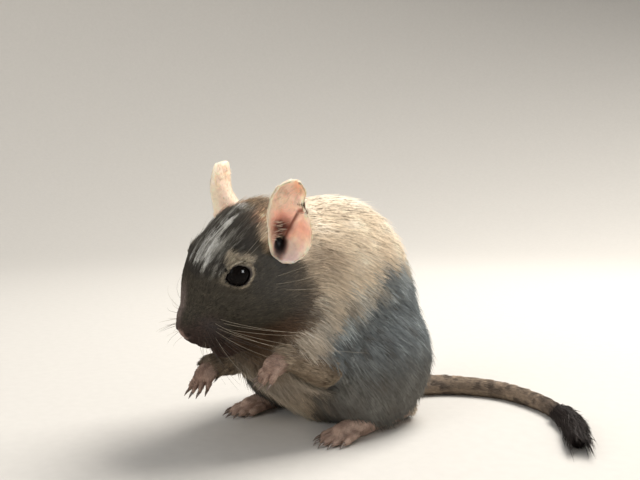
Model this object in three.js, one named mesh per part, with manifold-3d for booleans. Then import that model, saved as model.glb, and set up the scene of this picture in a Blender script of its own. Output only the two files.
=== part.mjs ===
// A life-size degu (Octodon degus), sitting hunched on its haunches with its forepaws raised and its
// head bent down and a little to its right, as when it feeds.
// Millimetres, +Z up, the animal faces -Y and its left side is +X. It rests on the floor at z = 0 on its
// hind soles, rump and tail. All surfaces are those of the lying coat.

import * as THREE from "three";
import { ConvexGeometry } from "three/addons/geometries/ConvexGeometry.js";
import { mergeVertices } from "three/addons/utils/BufferGeometryUtils.js";
import Module from "manifold-3d";

const { Vector3, Matrix4, SphereGeometry } = THREE;
const wasm = await Module();
wasm.setup();

// Driving dimensions
const GAP = 0.3; // between pieces that touch
const HEAD_AT = new Vector3(-2, -38, 53); // the point between the eyes
const HEAD_YAW = -16; // degrees, towards the animal's right
const HEAD_PITCH = 41; // nose down
const HEAD_ROLL = 13.5; // left ear down
const EYE_RADIUS = 4.6;
const EYE_AT = new Vector3(9.5, -0.3, 1.7); // left eye's centre, in head axes
const EAR_LENGTH = 24;
const EAR_THICK = 0.9;
const TAIL_LENGTH = 106; // without the tuft
const TAIL_RADIUS = 4.2;
const TUFT_LENGTH = 17;
const SIDES = [
  ["left", 1],
  ["right", -1],
];

const v = (x, y, z) => new Vector3(x, y, z);
const radians = THREE.MathUtils.degToRad;
const clamp = THREE.MathUtils.clamp;
const lerp = THREE.MathUtils.lerp;
const smooth = THREE.MathUtils.smoothstep;

// The head's own axes: x to its left, y to its back, z to its crown.
const HEAD = new Matrix4()
  .makeTranslation(HEAD_AT)
  .multiply(new Matrix4().makeRotationZ(radians(HEAD_YAW)))
  .multiply(new Matrix4().makeRotationX(radians(HEAD_PITCH)))
  .multiply(new Matrix4().makeRotationY(radians(HEAD_ROLL)));
const HEAD_INVERSE = HEAD.clone().invert();
const inHead = (x, y, z) => v(x, y, z).applyMatrix4(HEAD);

// Fields: functions of a point that are negative inside a form and about its distance in millimetres.

const ellipsoid = (centre, radii) => (p) => {
  const [x, y, z] = [(p.x - centre.x) / radii.x, (p.y - centre.y) / radii.y, (p.z - centre.z) / radii.z];
  const near = Math.hypot(x, y, z);
  return (near * (near - 1)) / Math.max(Math.hypot(x / radii.x, y / radii.y, z / radii.z), 1e-6);
};

// A round cone from a to b, rounded at both ends.
const cone = (a, b, radiusA, radiusB) => {
  const along = b.clone().sub(a);
  const lengthSquared = along.lengthSq();
  return (p) => {
    const [x, y, z] = [p.x - a.x, p.y - a.y, p.z - a.z];
    const t = clamp((x * along.x + y * along.y + z * along.z) / lengthSquared, 0, 1);
    return Math.hypot(x - t * along.x, y - t * along.y, z - t * along.z) - lerp(radiusA, radiusB, t);
  };
};

const mirrored = (field) => (p) => field(v(Math.abs(p.x), p.y, p.z));

// Joins forms one after another; each step is [form, width of the blend].
const blend = (first, ...steps) => (p) =>
  steps.reduce((a, [form, width]) => {
    const b = form(p);
    const h = clamp(0.5 + (0.5 * (b - a)) / width, 0, 1);
    return lerp(b, a, h) - width * h * (1 - h);
  }, first(p));

const grown = (field, by) => (p) => field(p) - by;

// The head in its own axes.
const head = blend(
  ellipsoid(v(0, 11, -3), v(15.5, 17, 13.5)), // cranium
  [ellipsoid(v(0, 0, -2), v(12.5, 14, 12)), 6], // brow and face
  [cone(v(0, -3, -4), v(0, -14.5, -7), 10.5, 7.2), 5], // muzzle
  [mirrored(ellipsoid(v(7.5, 4, -10), v(11.5, 14, 10))), 6], // cheeks
  [mirrored(ellipsoid(v(3.6, -14.5, -10), v(4.8, 6, 4.8))), 3], // whisker pads
  [ellipsoid(v(0, -11.2, -18.2), v(5.6, 7, 5.2)), 3], // chin
  [ellipsoid(v(0, -19.4, -6.6), v(3.6, 2.8, 3)), 2], // nose
);

// The trunk and neck, in the part's axes.
const trunk = blend(
  ellipsoid(v(0, 5, 37), v(26, 31, 37)), // back and belly
  [ellipsoid(v(0, -13, 42), v(20, 19, 25)), 14], // chest
  [ellipsoid(v(0, 17, 20.5), v(25, 22, 21.5)), 12], // rump
  [mirrored(ellipsoid(v(18, 6, 19.5), v(13, 22, 18))), 8], // haunches
  [mirrored(ellipsoid(v(15, -18, 34), v(9, 11, 15))), 8], // shoulders
  [cone(inHead(0, 13, -5.5), v(0, -6, 47), 13.5, 19), 12], // neck
);
const fromHead = (field) => (p) => field(p.clone().applyMatrix4(HEAD_INVERSE));
const toHead = (field) => (p) => field(p.clone().applyMatrix4(HEAD));
const body = blend(trunk, [fromHead(head), 6]);

// An ellipsoid round the head parts it from the neck, and a larger one parts the neck from the trunk.
const HEAD_SHELL = [v(0, -2, 2), v(28, 26, 25)];
const NECK_SHELL = [v(0, 3, 0), v(36, 35, 32)];
const OVERLAP = 3; // by which a wrapped form runs past its seam
const within = (field, limit) => (p) => Math.max(field(p), limit(p));
const outside = (field, limit) => (p) => Math.max(field(p), -limit(p));

// Geometry helpers

function solid(geometry) {
  const bare = geometry.index ? geometry.toNonIndexed() : geometry.clone();
  bare.deleteAttribute("normal");
  bare.deleteAttribute("uv");
  const merged = mergeVertices(bare, 1e-4);
  return new wasm.Manifold(
    new wasm.Mesh({
      numProp: 3,
      vertProperties: merged.attributes.position.array,
      triVerts: new Uint32Array(merged.index.array),
    }),
  );
}

function geometryOf(manifold) {
  const mesh = manifold.getMesh();
  const geometry = new THREE.BufferGeometry();
  geometry.setAttribute("position", new THREE.BufferAttribute(Float32Array.from(mesh.vertProperties), 3));
  geometry.setIndex(new THREE.BufferAttribute(Uint32Array.from(mesh.triVerts), 1));
  return geometry;
}

const joined = (...solids) => solids.reduce((a, b) => a.add(b));
const without = (first, ...cuts) => cuts.reduce((a, b) => a.subtract(b), first);

// Where a ray from inside a form leaves it.
function skinPoint(field, from, direction, reach = 80) {
  const at = (t) => from.clone().addScaledVector(direction, t);
  const STEP = 0.8;
  let t = STEP;
  while (t < reach && field(at(t)) < 0) t += STEP;
  let [low, high] = [t - STEP, t];
  for (let i = 0; i < 12; i++) {
    const middle = (low + high) / 2;
    if (field(at(middle)) < 0) low = middle;
    else high = middle;
  }
  return at((low + high) / 2);
}

// Closed geometry from rings of points. The first and last are single points.
function skinned(rings) {
  const positions = [];
  const starts = rings.map((ring) => {
    const start = positions.length / 3;
    ring.forEach((p) => positions.push(p.x, p.y, p.z));
    return start;
  });
  const faces = [];
  const sides = Math.max(...rings.map((ring) => ring.length));
  const index = (ring, k) => starts[ring] + (rings[ring].length === 1 ? 0 : k % sides);
  for (let i = 0; i + 1 < rings.length; i++)
    for (let k = 0; k < sides; k++) {
      const [a, b, c, d] = [index(i, k), index(i, k + 1), index(i + 1, k + 1), index(i + 1, k)];
      if (a !== b) faces.push(a, b, c);
      if (c !== d) faces.push(a, c, d);
    }
  const geometry = new THREE.BufferGeometry();
  geometry.setAttribute("position", new THREE.Float32BufferAttribute(positions, 3));
  geometry.setIndex(faces);
  return geometry;
}

// Wraps a form: rings of rays leave the axis square to it, and lean over to a pole at each end.
// axis is a curve or a pair of points; lean is the number of rings between the last square ring and a pole.
function wrap(field, axis, { rings, sides, lean = 4, side = v(1, 0, 0), spacing = (t) => t }) {
  const curve = Array.isArray(axis) ? new THREE.LineCurve3(...axis) : axis;
  const stations = [];
  for (let i = lean; i > 0; i--) stations.push([0, (-i / lean) * (Math.PI / 2)]);
  for (let i = 0; i <= rings; i++) stations.push([spacing(i / rings), 0]);
  for (let i = 1; i <= lean; i++) stations.push([1, (i / lean) * (Math.PI / 2)]);
  return skinned(
    stations.map(([t, tilt]) => {
      const from = curve.getPoint(t);
      const along = curve.getTangent(t);
      const up = along.clone().cross(side).normalize();
      const across = up.clone().cross(along);
      const pole = Math.abs(Math.abs(tilt) - Math.PI / 2) < 1e-6;
      return Array.from({ length: pole ? 1 : sides }, (_, k) => {
        const angle = (2 * Math.PI * k) / sides;
        const out = across
          .clone()
          .multiplyScalar(Math.cos(angle) * Math.cos(tilt))
          .addScaledVector(up, Math.sin(angle) * Math.cos(tilt))
          .addScaledVector(along, Math.sin(tilt));
        return skinPoint(field, from, out.normalize());
      });
    }),
  );
}

const ball = (centre, radii, segments = 24) =>
  solid(
    new SphereGeometry(1, segments, Math.round(segments * 0.7)).scale(radii.x, radii.y, radii.z).translate(centre.x, centre.y, centre.z),
  );

// A tube through points with flat ends. Each has a radius, or a pair: towards side, then square to it.
// Its direction at each point may be given.
function tube(points, radii, sides, side = v(0, 0, 1), directions = []) {
  const between = (i) => points[Math.min(i + 1, points.length - 1)].clone().sub(points[Math.max(i - 1, 0)]);
  const rings = points.map((p, i) => {
    const along = (directions[i] ?? between(i)).clone().normalize();
    const up = along.clone().cross(side).normalize();
    const across = up.clone().cross(along);
    const [thick, wide] = [radii[i]].flat().length === 2 ? radii[i] : [radii[i], radii[i]];
    return Array.from({ length: sides }, (_, k) => {
      const angle = (2 * Math.PI * k) / sides;
      return p
        .clone()
        .addScaledVector(across, thick * Math.cos(angle))
        .addScaledVector(up, wide * Math.sin(angle));
    });
  });
  return skinned([[points[0]], ...rings, [points.at(-1)]]);
}

// A closed thin body between two grids of points alike, split into triangles alike on both faces.
function sheet(front, back) {
  const [rows, columns] = [front.length, front[0].length];
  const grids = [front, back];
  const index = (face, i, j) => (face * rows + i) * columns + j;
  const faces = [];
  for (let i = 0; i + 1 < rows; i++)
    for (let j = 0; j + 1 < columns; j++) {
      const corner = (face) => [index(face, i, j), index(face, i, j + 1), index(face, i + 1, j + 1), index(face, i + 1, j)];
      const [a, b, c, d] = corner(0);
      const [e, f, g, h] = corner(1);
      faces.push(a, b, c, a, c, d, e, g, f, e, h, g);
    }
  const rim = [];
  for (let j = 0; j + 1 < columns; j++) rim.push([0, j]);
  for (let i = 0; i + 1 < rows; i++) rim.push([i, columns - 1]);
  for (let j = columns - 1; j > 0; j--) rim.push([rows - 1, j]);
  for (let i = rows - 1; i > 0; i--) rim.push([i, 0]);
  rim.forEach(([i, j], n) => {
    const [k, l] = rim[(n + 1) % rim.length];
    const [a, b] = [index(0, i, j), index(0, k, l)];
    const [c, d] = [index(1, k, l), index(1, i, j)];
    faces.push(a, c, b, a, d, c);
  });
  const geometry = new THREE.BufferGeometry();
  geometry.setAttribute("position", new THREE.Float32BufferAttribute(grids.flat(2).flatMap((p) => [p.x, p.y, p.z]), 3));
  geometry.setIndex(faces);
  return geometry;
}

// Sub-parts

const nodes = [];
const COLOURS = {
  dark: 0x4a443f, // slate-brown hood of the head
  cream: 0xd9cdbb, // pied body
  pink: 0xe0a890, // bare skin of the ears
  skin: 0xb79f94, // feet
  brush: 0x2e2a28, // black tail tuft
  eye: 0x0c0a0a,
};

// Keeps the largest closed surface of a solid as a named mesh.
function add(name, manifold, colour, roughness = 0.9) {
  const pieces = manifold.decompose();
  const largest = pieces.reduce((a, b) => (b.volume() > a.volume() ? b : a));
  const mesh = new THREE.Mesh(
    geometryOf(largest),
    new THREE.MeshStandardMaterial({ color: COLOURS[colour], roughness, metalness: 0 }),
  );
  mesh.name = name;
  nodes.push(mesh);
}

const place = (manifold, matrix) => manifold.transform(matrix.toArray());
const mirrorX = (p, sign) => v(p.x * sign, p.y, p.z);
// Puts a solid made for the left side on either side of a frame's middle plane.
const onSide = (manifold, sign) => (sign > 0 ? manifold : manifold.mirror([1, 0, 0]));
const FLOOR = solid(new THREE.BoxGeometry(400, 400, 40).translate(0, 0, -20));

const region = (centre, radii, segments = 20) => ({
  inside: ball(centre, radii, segments),
  grown: ball(centre, v(GAP, GAP, GAP).add(radii), segments),
});
const headRegion = region(...HEAD_SHELL);
const neckRegion = region(...NECK_SHELL);
const armRegion = (sign) => region(v(22 * sign, -19, 31), v(10, 10, 14));
const thighRegion = (sign) => region(v(28 * sign, 7, 18), v(14, 21, 18));

// Trunk flesh, short of the head.
const trunkAxis = new THREE.CatmullRomCurve3([v(0, -7, 48), v(0, 1, 39), v(0, 8, 29), v(0, 14, 19)]);
const TRUNK_MESH = { rings: 11, sides: 30, lean: 6 };
const trunkField = outside(body, grown(fromHead(ellipsoid(...HEAD_SHELL)), -OVERLAP));
const flesh = solid(wrap(trunkField, trunkAxis, TRUNK_MESH));
const fleshGrown = solid(wrap(grown(trunkField, GAP), trunkAxis, TRUNK_MESH));

// The head, in its own axes.
const HEAD_MESH = { rings: 12, sides: 28, lean: 6 };
const headAxis = [v(0, 14, -4), v(0, -11, -7)];
const headField = within(toHead(body), grown(ellipsoid(...HEAD_SHELL), OVERLAP));

const EYE_FACING = v(0.94, -0.2, 0.28).normalize();
const eyeAt = (sign) => mirrorX(EYE_AT, sign);

// A ring of skin round the eye, pointed a little towards the nose.
function eyelid(sign) {
  const LID_RADIUS = 3.7;
  const LID_THICK = 0.9;
  const facing = mirrorX(EYE_FACING, sign);
  const ring = new THREE.TorusGeometry(LID_RADIUS, LID_THICK, 5, 11).scale(1.1, 0.94, 1);
  const toNose = mirrorX(v(-0.48, -0.86, 0.16), sign).projectOnPlane(facing).normalize();
  const up = facing.clone().cross(toNose);
  const turn = new Matrix4().makeBasis(toNose, up, facing);
  turn.setPosition(eyeAt(sign).addScaledVector(facing, 2.9));
  return solid(ring.applyMatrix4(turn));
}

const MOUTH_FROM = v(0, -9, -9);
const mouthPoint = (turn, lift) => {
  const [a, e] = [radians(turn), radians(lift)];
  const out = v(Math.sin(a) * Math.cos(e), -Math.cos(a) * Math.cos(e), Math.sin(e));
  return skinPoint(head, MOUTH_FROM, out);
};
const MOUTH_TURN = 78; // degrees from the middle to a corner
const mouthLift = (turn) => -26 - 16 * Math.abs(Math.sin(radians(turn)));

function mouthTube(radius, rise) {
  const STEPS = 9;
  const turns = Array.from({ length: STEPS + 1 }, (_, i) => MOUTH_TURN * ((2 * i) / STEPS - 1));
  const points = turns.map((turn) => mouthPoint(turn, mouthLift(turn) + rise));
  const radii = turns.map((turn) => radius * (1 - 0.65 * (Math.abs(turn) / MOUTH_TURN) ** 3));
  return solid(tube(points, radii, 5));
}

function philtrum() {
  const lifts = [-4, -10, -17, -25];
  return solid(tube(lifts.map((lift) => mouthPoint(0, lift)), [0.3, 0.5, 0.5, 0.35], 6, v(1, 0, 0)));
}

function nostril(sign) {
  const at = skinPoint(head, v(0, -16, -7), v(2.3 * sign, -4.4, 1).normalize());
  return ball(at, v(0.75, 1.1, 0.95), 10);
}

function makeHead() {
  const base = solid(wrap(headField, headAxis, HEAD_MESH)).intersect(headRegion.inside);
  const raised = joined(
    base,
    eyelid(1),
    eyelid(-1),
    mouthTube(0.9, 5), // upper lip
    mouthTube(0.8, -6), // lower lip
  );
  const sockets = [1, -1].map((sign) => {
    const r = EYE_RADIUS + GAP;
    return ball(eyeAt(sign), v(r, r, r), 14);
  });
  const ears = SIDES.flatMap(([name, sign]) => [onSide(earRoom(name), sign), canal(sign)]);
  return without(raised, ...sockets, ...ears, mouthTube(0.55, 0), philtrum(), nostril(1), nostril(-1));
}

// The whiskers stand on a pad of each side of the muzzle, in rows from its top down and columns to the rear.
const PAD_SHELL = [v(8, -14.8, -8.5), v(4, 4.5, 4.6)];
const WHISKER_ROWS = 4;
const WHISKER_COLUMNS = 2;
const WHISKER_LENGTHS = [24, 38]; // in the front and the rear column
const WHISKER_RADII = [0.3, 0.22, 0.1]; // at the root, middle and tip
const padRegion = (sign) => region(mirrorX(PAD_SHELL[0], sign), PAD_SHELL[1], 8);

function whisker(row, column, sign) {
  const rear = column / (WHISKER_COLUMNS - 1);
  const [a, e] = [radians(lerp(55, 80, rear)), radians(12 - 10 * row)];
  const out = v(Math.sin(a) * Math.cos(e), -Math.cos(a) * Math.cos(e), Math.sin(e));
  const root = skinPoint(head, v(0, -11, -8), out).addScaledVector(out, -1);
  const length = lerp(...WHISKER_LENGTHS, rear);
  const aim = v(1, lerp(-0.31, 0.35, rear), -0.1 - 0.07 * row).normalize();
  const bend = v(-0.1, 0.22, -0.14);
  const points = [0, 0.5, 1].map((t) => {
    const p = root.clone().addScaledVector(aim, length * t).addScaledVector(bend, length * t * t);
    return mirrorX(p, sign);
  });
  return solid(tube(points, WHISKER_RADII, 3));
}

function whiskers(sign) {
  const all = [];
  for (let row = 0; row < WHISKER_ROWS; row++)
    for (let column = 0; column < WHISKER_COLUMNS; column++) all.push(whisker(row, column, sign));
  return joined(...all);
}

// The ear's canal, a pit in the head's surface.
const CANAL_AT = v(12.8, 14.3, 0.3);
const canal = (sign) => ball(mirrorX(CANAL_AT, sign), v(3.4, 1.9, 2.2), 12);

// An ear: a thin bowl round the canal, narrowing to a rounded tip, with a notch in its rear edge.
const EAR_AT = v(17.3, 11.5, -2.7); // the lowest point of its rim
const EAR_UPS = { left: v(0.185, 0.594, 0.783), right: v(0.49, 0.65, 0.57) };
const EAR_FACINGS = { left: v(0.876, -0.46, 0.142), right: v(0.72, -0.68, 0.14) };

function earAxes(name) {
  const up = EAR_UPS[name].clone().normalize();
  const facing = EAR_FACINGS[name].clone().projectOnPlane(up).normalize();
  return { up, facing, back: up.clone().cross(facing) };
}

const EAR_RIM = [
  // height along the ear, then its front and rear edge, all in parts of its length
  [0, -0.07, 0.07],
  [0.06, -0.16, 0.14],
  [0.13, -0.21, 0.2],
  [0.25, -0.25, 0.24],
  [0.37, -0.27, 0.24],
  [0.5, -0.3, 0.205],
  [0.6, -0.32, 0.16],
  [0.7, -0.31, 0.09],
  [0.78, -0.3, 0.085],
  [0.87, -0.26, 0.1],
  [0.94, -0.21, 0.07],
  [0.985, -0.13, 0.03],
  [1, -0.09, 0],
];

function earPoint({ up, facing, back }, [height, front, rear], t) {
  const deep = 0.23 * Math.sqrt(clamp(height / 0.16, 0, 1)) * lerp(1, 0.3, smooth(height, 0.25, 0.95));
  const across = lerp(front, rear, (t + 1) / 2);
  const lean = 0.08 * smooth(height, 0.5, 1); // the tip leans back
  return EAR_AT.clone()
    .addScaledVector(up, EAR_LENGTH * height)
    .addScaledVector(back, EAR_LENGTH * across)
    .addScaledVector(facing, -EAR_LENGTH * (deep * (1 - t ** 4) + lean));
}

// The ear's two faces as grids of points, each by its distance from the middle of the skin.
function earFace(axes, offset) {
  const COLUMNS = 8;
  const points = EAR_RIM.map((row) =>
    Array.from({ length: COLUMNS + 1 }, (_, j) => earPoint(axes, row, (2 * j) / COLUMNS - 1)),
  );
  const near = (list, i) => [list[Math.max(i - 1, 0)], list[Math.min(i + 1, list.length - 1)]];
  return points.map((row, i) =>
    row.map((p, j) => {
      const [below, above] = near(points, i).map((other) => other[j]);
      const [before, after] = near(row, j);
      const normal = above.clone().sub(below).cross(after.clone().sub(before)).normalize();
      return p.clone().addScaledVector(normal, offset);
    }),
  );
}

const ear = (name) => solid(sheet(earFace(earAxes(name), -EAR_THICK / 2), earFace(earAxes(name), EAR_THICK / 2)));

// The room that the ear's bowl takes out of the head: its lower rows, their gap and the hollow in front.
function earRoom(name) {
  const BOWL_ROWS = 7;
  const axes = earAxes(name);
  const reach = EAR_THICK / 2 + GAP;
  const points = [reach, -reach].flatMap((offset) =>
    earFace(axes, offset)
      .slice(0, BOWL_ROWS)
      .flatMap((row) => [
        ...row,
        row[0].clone().addScaledVector(axes.back, -reach),
        row.at(-1).clone().addScaledVector(axes.back, reach),
      ]),
  );
  const low = points.filter((p) => p.clone().sub(EAR_AT).dot(axes.up) < 1).map((p) => p.clone().addScaledVector(axes.up, -reach));
  const front = points.map((p) => p.clone().addScaledVector(axes.facing, 5));
  return solid(new ConvexGeometry([...points, ...low, ...front]));
}

// A limb's stretch from points and radii, with flat ends.
const stretch = (...about) => solid(tube(...about));

// Forelimb: the forearm reaches forward from the elbow to the raised hand.
const ELBOW = { left: v(20, -17, 23), right: v(-18, -19, 21.5) };
const WRIST = { left: v(17.5, -30, 28), right: v(-13.5, -33.5, 21) };
const FOREARM_RADII = [5.4, 5.2, 4.5, 3.8, 3.4];
const PALM = 6;
const FINGERS = 4;

function forearm(name, extra) {
  const last = FOREARM_RADII.length - 1;
  const points = FOREARM_RADII.map((_, i) => ELBOW[name].clone().lerp(WRIST[name], i / last));
  points[last].add(WRIST[name].clone().sub(ELBOW[name]).setLength(extra));
  return stretch(points, FOREARM_RADII.map((r) => r + extra), 11);
}

// A digit: rounded pads tapering to a curved claw. It leaves root along forward and bends down.
function digit(root, forward, { length, radius, droop, claw }) {
  const KNUCKLES = [0, 0.35, 0.7, 1];
  const points = KNUCKLES.map((t) => root.clone().addScaledVector(forward, length * t).add(v(0, 0, -droop * t * t)));
  const radii = KNUCKLES.map((t) => radius * (1 - 0.25 * t + 0.12 * Math.sin(t * Math.PI * 3)));
  radii[KNUCKLES.length - 1] *= 0.75;
  const tip = points.at(-1).clone().addScaledVector(forward, -0.4);
  const clawPoints = [0, 0.5, 1].map((t) =>
    tip.clone().addScaledVector(forward, claw * t + 0.3).add(v(0, 0, 0.35 - claw * 0.35 * t * t)),
  );
  return joined(stretch(points, radii, 6), stretch(clawPoints, [0.5, 0.4, 0.1], 4));
}

// A hand hanging from the wrist, its fingers a little curled: four clawed fingers and a stub of a thumb.
function hand(name, sign) {
  const forward = v(-0.25 * sign, -0.9, -0.45).normalize();
  const inward = v(-sign, 0, 0).projectOnPlane(forward).normalize();
  const palmEnd = WRIST[name].clone().addScaledVector(forward, PALM);
  const palm = stretch([0, 0.4, 0.8, 1.1].map((t) => WRIST[name].clone().lerp(palmEnd, t)), [3.1, 3.5, 3.5, 2.4], 12);
  const fingers = Array.from({ length: FINGERS }, (_, i) => {
    const spread = i / (FINGERS - 1) - 0.5;
    const root = palmEnd
      .clone()
      .addScaledVector(inward, spread * 5.2)
      .addScaledVector(forward, -1.4 - 2 * spread * spread);
    const aim = forward.clone().addScaledVector(inward, spread * 0.5).normalize();
    return digit(root, aim, { length: 5.6 - 2 * Math.abs(spread), radius: 1.25, droop: 2.6, claw: 2 });
  });
  const thumbRoot = WRIST[name].clone().addScaledVector(forward, 2.6).addScaledVector(inward, 2.4);
  const thumbAim = forward.clone().addScaledVector(inward, 0.7).normalize();
  return joined(palm, ...fingers, digit(thumbRoot, thumbAim, { length: 2.4, radius: 1.1, droop: 0.8, claw: 0.7 }));
}

// Hindlimb: the shank comes down inside the haunch to a long flat foot.
const HEEL = v(20.5, 19, 4.2);
const FOOT_END = v(21.5, -12, 2.6);
const TOES = 5;
const SHANK_LINE = [v(20, 2, 16), v(20.5, 9, 11.5), v(20.5, 15.5, 8), v(20.5, 19, 5)];
const SHANK_RADII = [6.4, 6.2, 5, 4.1];

const shank = (extra) => stretch(SHANK_LINE, SHANK_RADII.map((r) => r + extra), 14, v(1, 0, 0));

// A long flat foot. The middle toes reach furthest.
function foot() {
  const points = [0, 0.12, 0.4, 0.7, 1].map((t) => HEEL.clone().lerp(FOOT_END, t));
  const sole = stretch(points, [3.2, 4.1, 3.8, 3.9, 3.1], 14);
  const forward = FOOT_END.clone().sub(HEEL).normalize();
  const outward = v(-forward.y, forward.x, 0).normalize();
  const toes = Array.from({ length: TOES }, (_, i) => {
    const spread = i / (TOES - 1) - 0.5;
    const root = FOOT_END.clone()
      .addScaledVector(outward, spread * 7.2)
      .addScaledVector(forward, -0.5 - 9 * spread * spread)
      .add(v(0, 0, -0.6));
    const aim = forward.clone().addScaledVector(outward, spread * 0.4).normalize();
    return digit(root, aim, { length: 8.2 - 5 * spread * spread, radius: 1.6, droop: 0.7, claw: 2.6 });
  });
  return joined(sole, ...toes);
}

// Tail: laid on the floor in one easy curve to the animal's left, in three lengths and a brush.
const TAIL_LINE = new THREE.CatmullRomCurve3([
  v(0, 26, 6.5),
  v(2.5, 42, 4),
  v(12, 57, 3.3),
  v(29, 65, 2.8),
  v(48, 61, 2.5),
  v(64, 49, 2.2),
  v(75, 34, 2),
]);
const tailRadius = (t) => lerp(TAIL_RADIUS, 2.3, Math.min(1, t * 1.1)) + 1.6 * Math.exp(-t * 14);

function tailLength(from, to, steps, extra = 0) {
  const times = Array.from({ length: steps + 1 }, (_, i) => lerp(from, to, i / steps));
  return stretch(
    times.map((t) => TAIL_LINE.getPointAt(t)),
    times.map((t) => tailRadius(t) + extra),
    12,
    v(0, 0, 1),
    times.map((t) => TAIL_LINE.getTangentAt(t)),
  );
}

// The brush at the tail's end: flat tapered locks on the last stretch of the tail, the last ones past its end.
const BRUSH_LENGTH = 27; // stretch of tail that carries locks
const BRUSH_ROWS = 5;
const LOCKS_IN_ROW = 4;

function lock(root, aim, outward, length) {
  const points = [0, 0.5, 1].map((t) =>
    root.clone().addScaledVector(aim, length * t).addScaledVector(outward, 0.08 * length * Math.sin(Math.PI * t)),
  );
  const radii = [[0.6, 1.1], [0.7, 1.5], [0.1, 0.15]];
  return stretch(points, radii, 4, outward);
}

function brush() {
  const whole = TAIL_LINE.getLength();
  const locks = [];
  for (let row = 0; row < BRUSH_ROWS; row++)
    for (let k = 0; k < LOCKS_IN_ROW; k++) {
      const back = BRUSH_LENGTH * (1 - row / (BRUSH_ROWS - 1)) + 1;
      const t = 1 - back / whole;
      const forward = TAIL_LINE.getTangentAt(t);
      const left = v(0, 0, 1).cross(forward).normalize();
      const angle = radians(-8 + (196 * (k + 0.5 * (row % 2))) / (LOCKS_IN_ROW - 0.5)); // none under the tail
      const outward = left.clone().multiplyScalar(Math.cos(angle)).addScaledVector(v(0, 0, 1), Math.sin(angle));
      const splay = radians(lerp(20, 9, row / (BRUSH_ROWS - 1)));
      const aim = forward.clone().multiplyScalar(Math.cos(splay)).addScaledVector(outward, Math.sin(splay));
      const root = TAIL_LINE.getPointAt(t).addScaledVector(outward, tailRadius(t) - 1);
      locks.push(lock(root, aim, outward, lerp(10, TUFT_LENGTH + 1, row / (BRUSH_ROWS - 1)) - 1.2 * (k % 2)));
    }
  return joined(...locks);
}

// Assembly: each piece is cut clear of those before it.
const face = makeHead();
add("head", place(without(face, padRegion(1).grown, padRegion(-1).grown), HEAD), "dark");
for (const [name, sign] of SIDES) {
  const pad = joined(face.intersect(padRegion(sign).inside), whiskers(sign));
  add("whisker_pad_" + name, place(pad, HEAD), "dark");
  const bowl = onSide(without(ear(name), canal(1)), sign);
  add("eye_" + name, place(ball(eyeAt(sign), v(EYE_RADIUS, EYE_RADIUS, EYE_RADIUS), 15), HEAD), "eye", 0.1);
  add("ear_" + name, place(bowl, HEAD), "pink", 0.6);
}
const headRoom = place(headRegion.grown, HEAD);
const neckRoom = place(neckRegion.grown, HEAD);
const earRooms = SIDES.map(([name, sign]) => place(onSide(earRoom(name), sign), HEAD));
add("neck", without(flesh.intersect(place(neckRegion.inside, HEAD)), headRoom, ...earRooms), "cream");

let torso = without(flesh, neckRoom, FLOOR);
for (const [name, sign] of SIDES) {
  const [arm, thigh] = [armRegion(sign), thighRegion(sign)];
  add("upper_arm_" + name, without(flesh.intersect(arm.inside), neckRoom), "cream");
  add("thigh_" + name, without(flesh.intersect(thigh.inside), neckRoom, arm.grown, FLOOR), "cream");
  add("forearm_" + name, without(forearm(name, 0), fleshGrown), "cream");
  add("hand_" + name, without(hand(name, sign), forearm(name, GAP), fleshGrown), "skin");
  add("shank_" + name, without(onSide(shank(0), sign), fleshGrown, FLOOR), "cream");
  add("foot_" + name, without(onSide(foot(), sign), fleshGrown, onSide(shank(GAP), sign), FLOOR), "skin");
  torso = without(torso, arm.grown, thigh.grown);
}
add("torso", torso, "cream");

const TAIL_CUTS = [0, 0.36, 0.7, 1];
const tailGap = GAP / TAIL_LENGTH / 2;
["tail_base", "tail_middle", "tail_end"].forEach((name, i) => {
  const piece = tailLength(TAIL_CUTS[i] + tailGap, TAIL_CUTS[i + 1] - tailGap, 8);
  const whole = name === "tail_end" ? joined(piece, brush()) : piece;
  add(name, without(whole, fleshGrown, FLOOR), name === "tail_end" ? "brush" : "cream");
});

// The part's origin is the middle of its box, on the floor.
const degu = new THREE.Group();
degu.name = "degu";
nodes.forEach((mesh) => degu.add(mesh));
const middle = new THREE.Box3().setFromObject(degu).getCenter(v(0, 0, 0));
degu.position.set(-middle.x, -middle.y, 0);
degu.updateMatrixWorld(true);
export default degu;
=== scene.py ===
# A life-size degu (Octodon degus), hunched with its forepaws raised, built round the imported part.
# Forms are worked out in the source's millimetres, +Z up, the animal facing -Y, then moved to the frame.

import bpy
import numpy as np
from mathutils import Matrix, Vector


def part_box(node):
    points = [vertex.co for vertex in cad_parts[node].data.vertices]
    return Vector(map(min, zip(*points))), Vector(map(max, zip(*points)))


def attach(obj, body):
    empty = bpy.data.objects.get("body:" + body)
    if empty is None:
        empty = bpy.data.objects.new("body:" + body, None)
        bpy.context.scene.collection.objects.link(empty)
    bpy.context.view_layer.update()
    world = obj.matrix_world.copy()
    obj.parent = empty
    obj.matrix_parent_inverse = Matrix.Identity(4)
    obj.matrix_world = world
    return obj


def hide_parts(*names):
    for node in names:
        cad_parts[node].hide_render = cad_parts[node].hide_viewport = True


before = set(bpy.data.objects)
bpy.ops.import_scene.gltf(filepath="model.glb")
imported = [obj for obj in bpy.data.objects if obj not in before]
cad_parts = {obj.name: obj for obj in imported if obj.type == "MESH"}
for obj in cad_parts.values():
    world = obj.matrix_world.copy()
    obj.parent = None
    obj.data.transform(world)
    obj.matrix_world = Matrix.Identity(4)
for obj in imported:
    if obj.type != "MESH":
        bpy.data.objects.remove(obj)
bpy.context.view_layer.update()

# Driving dimensions, in millimetres and degrees
HEAD_AT = np.array([-2.0, -38.0, 53.0])  # the point between the eyes
HEAD_YAW, HEAD_PITCH, HEAD_ROLL = -16.0, 41.0, 13.5
EYE_RADIUS = 4.6
EYE_AT = np.array([9.5, -0.3, 1.7])  # left eye, in head axes
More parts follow.
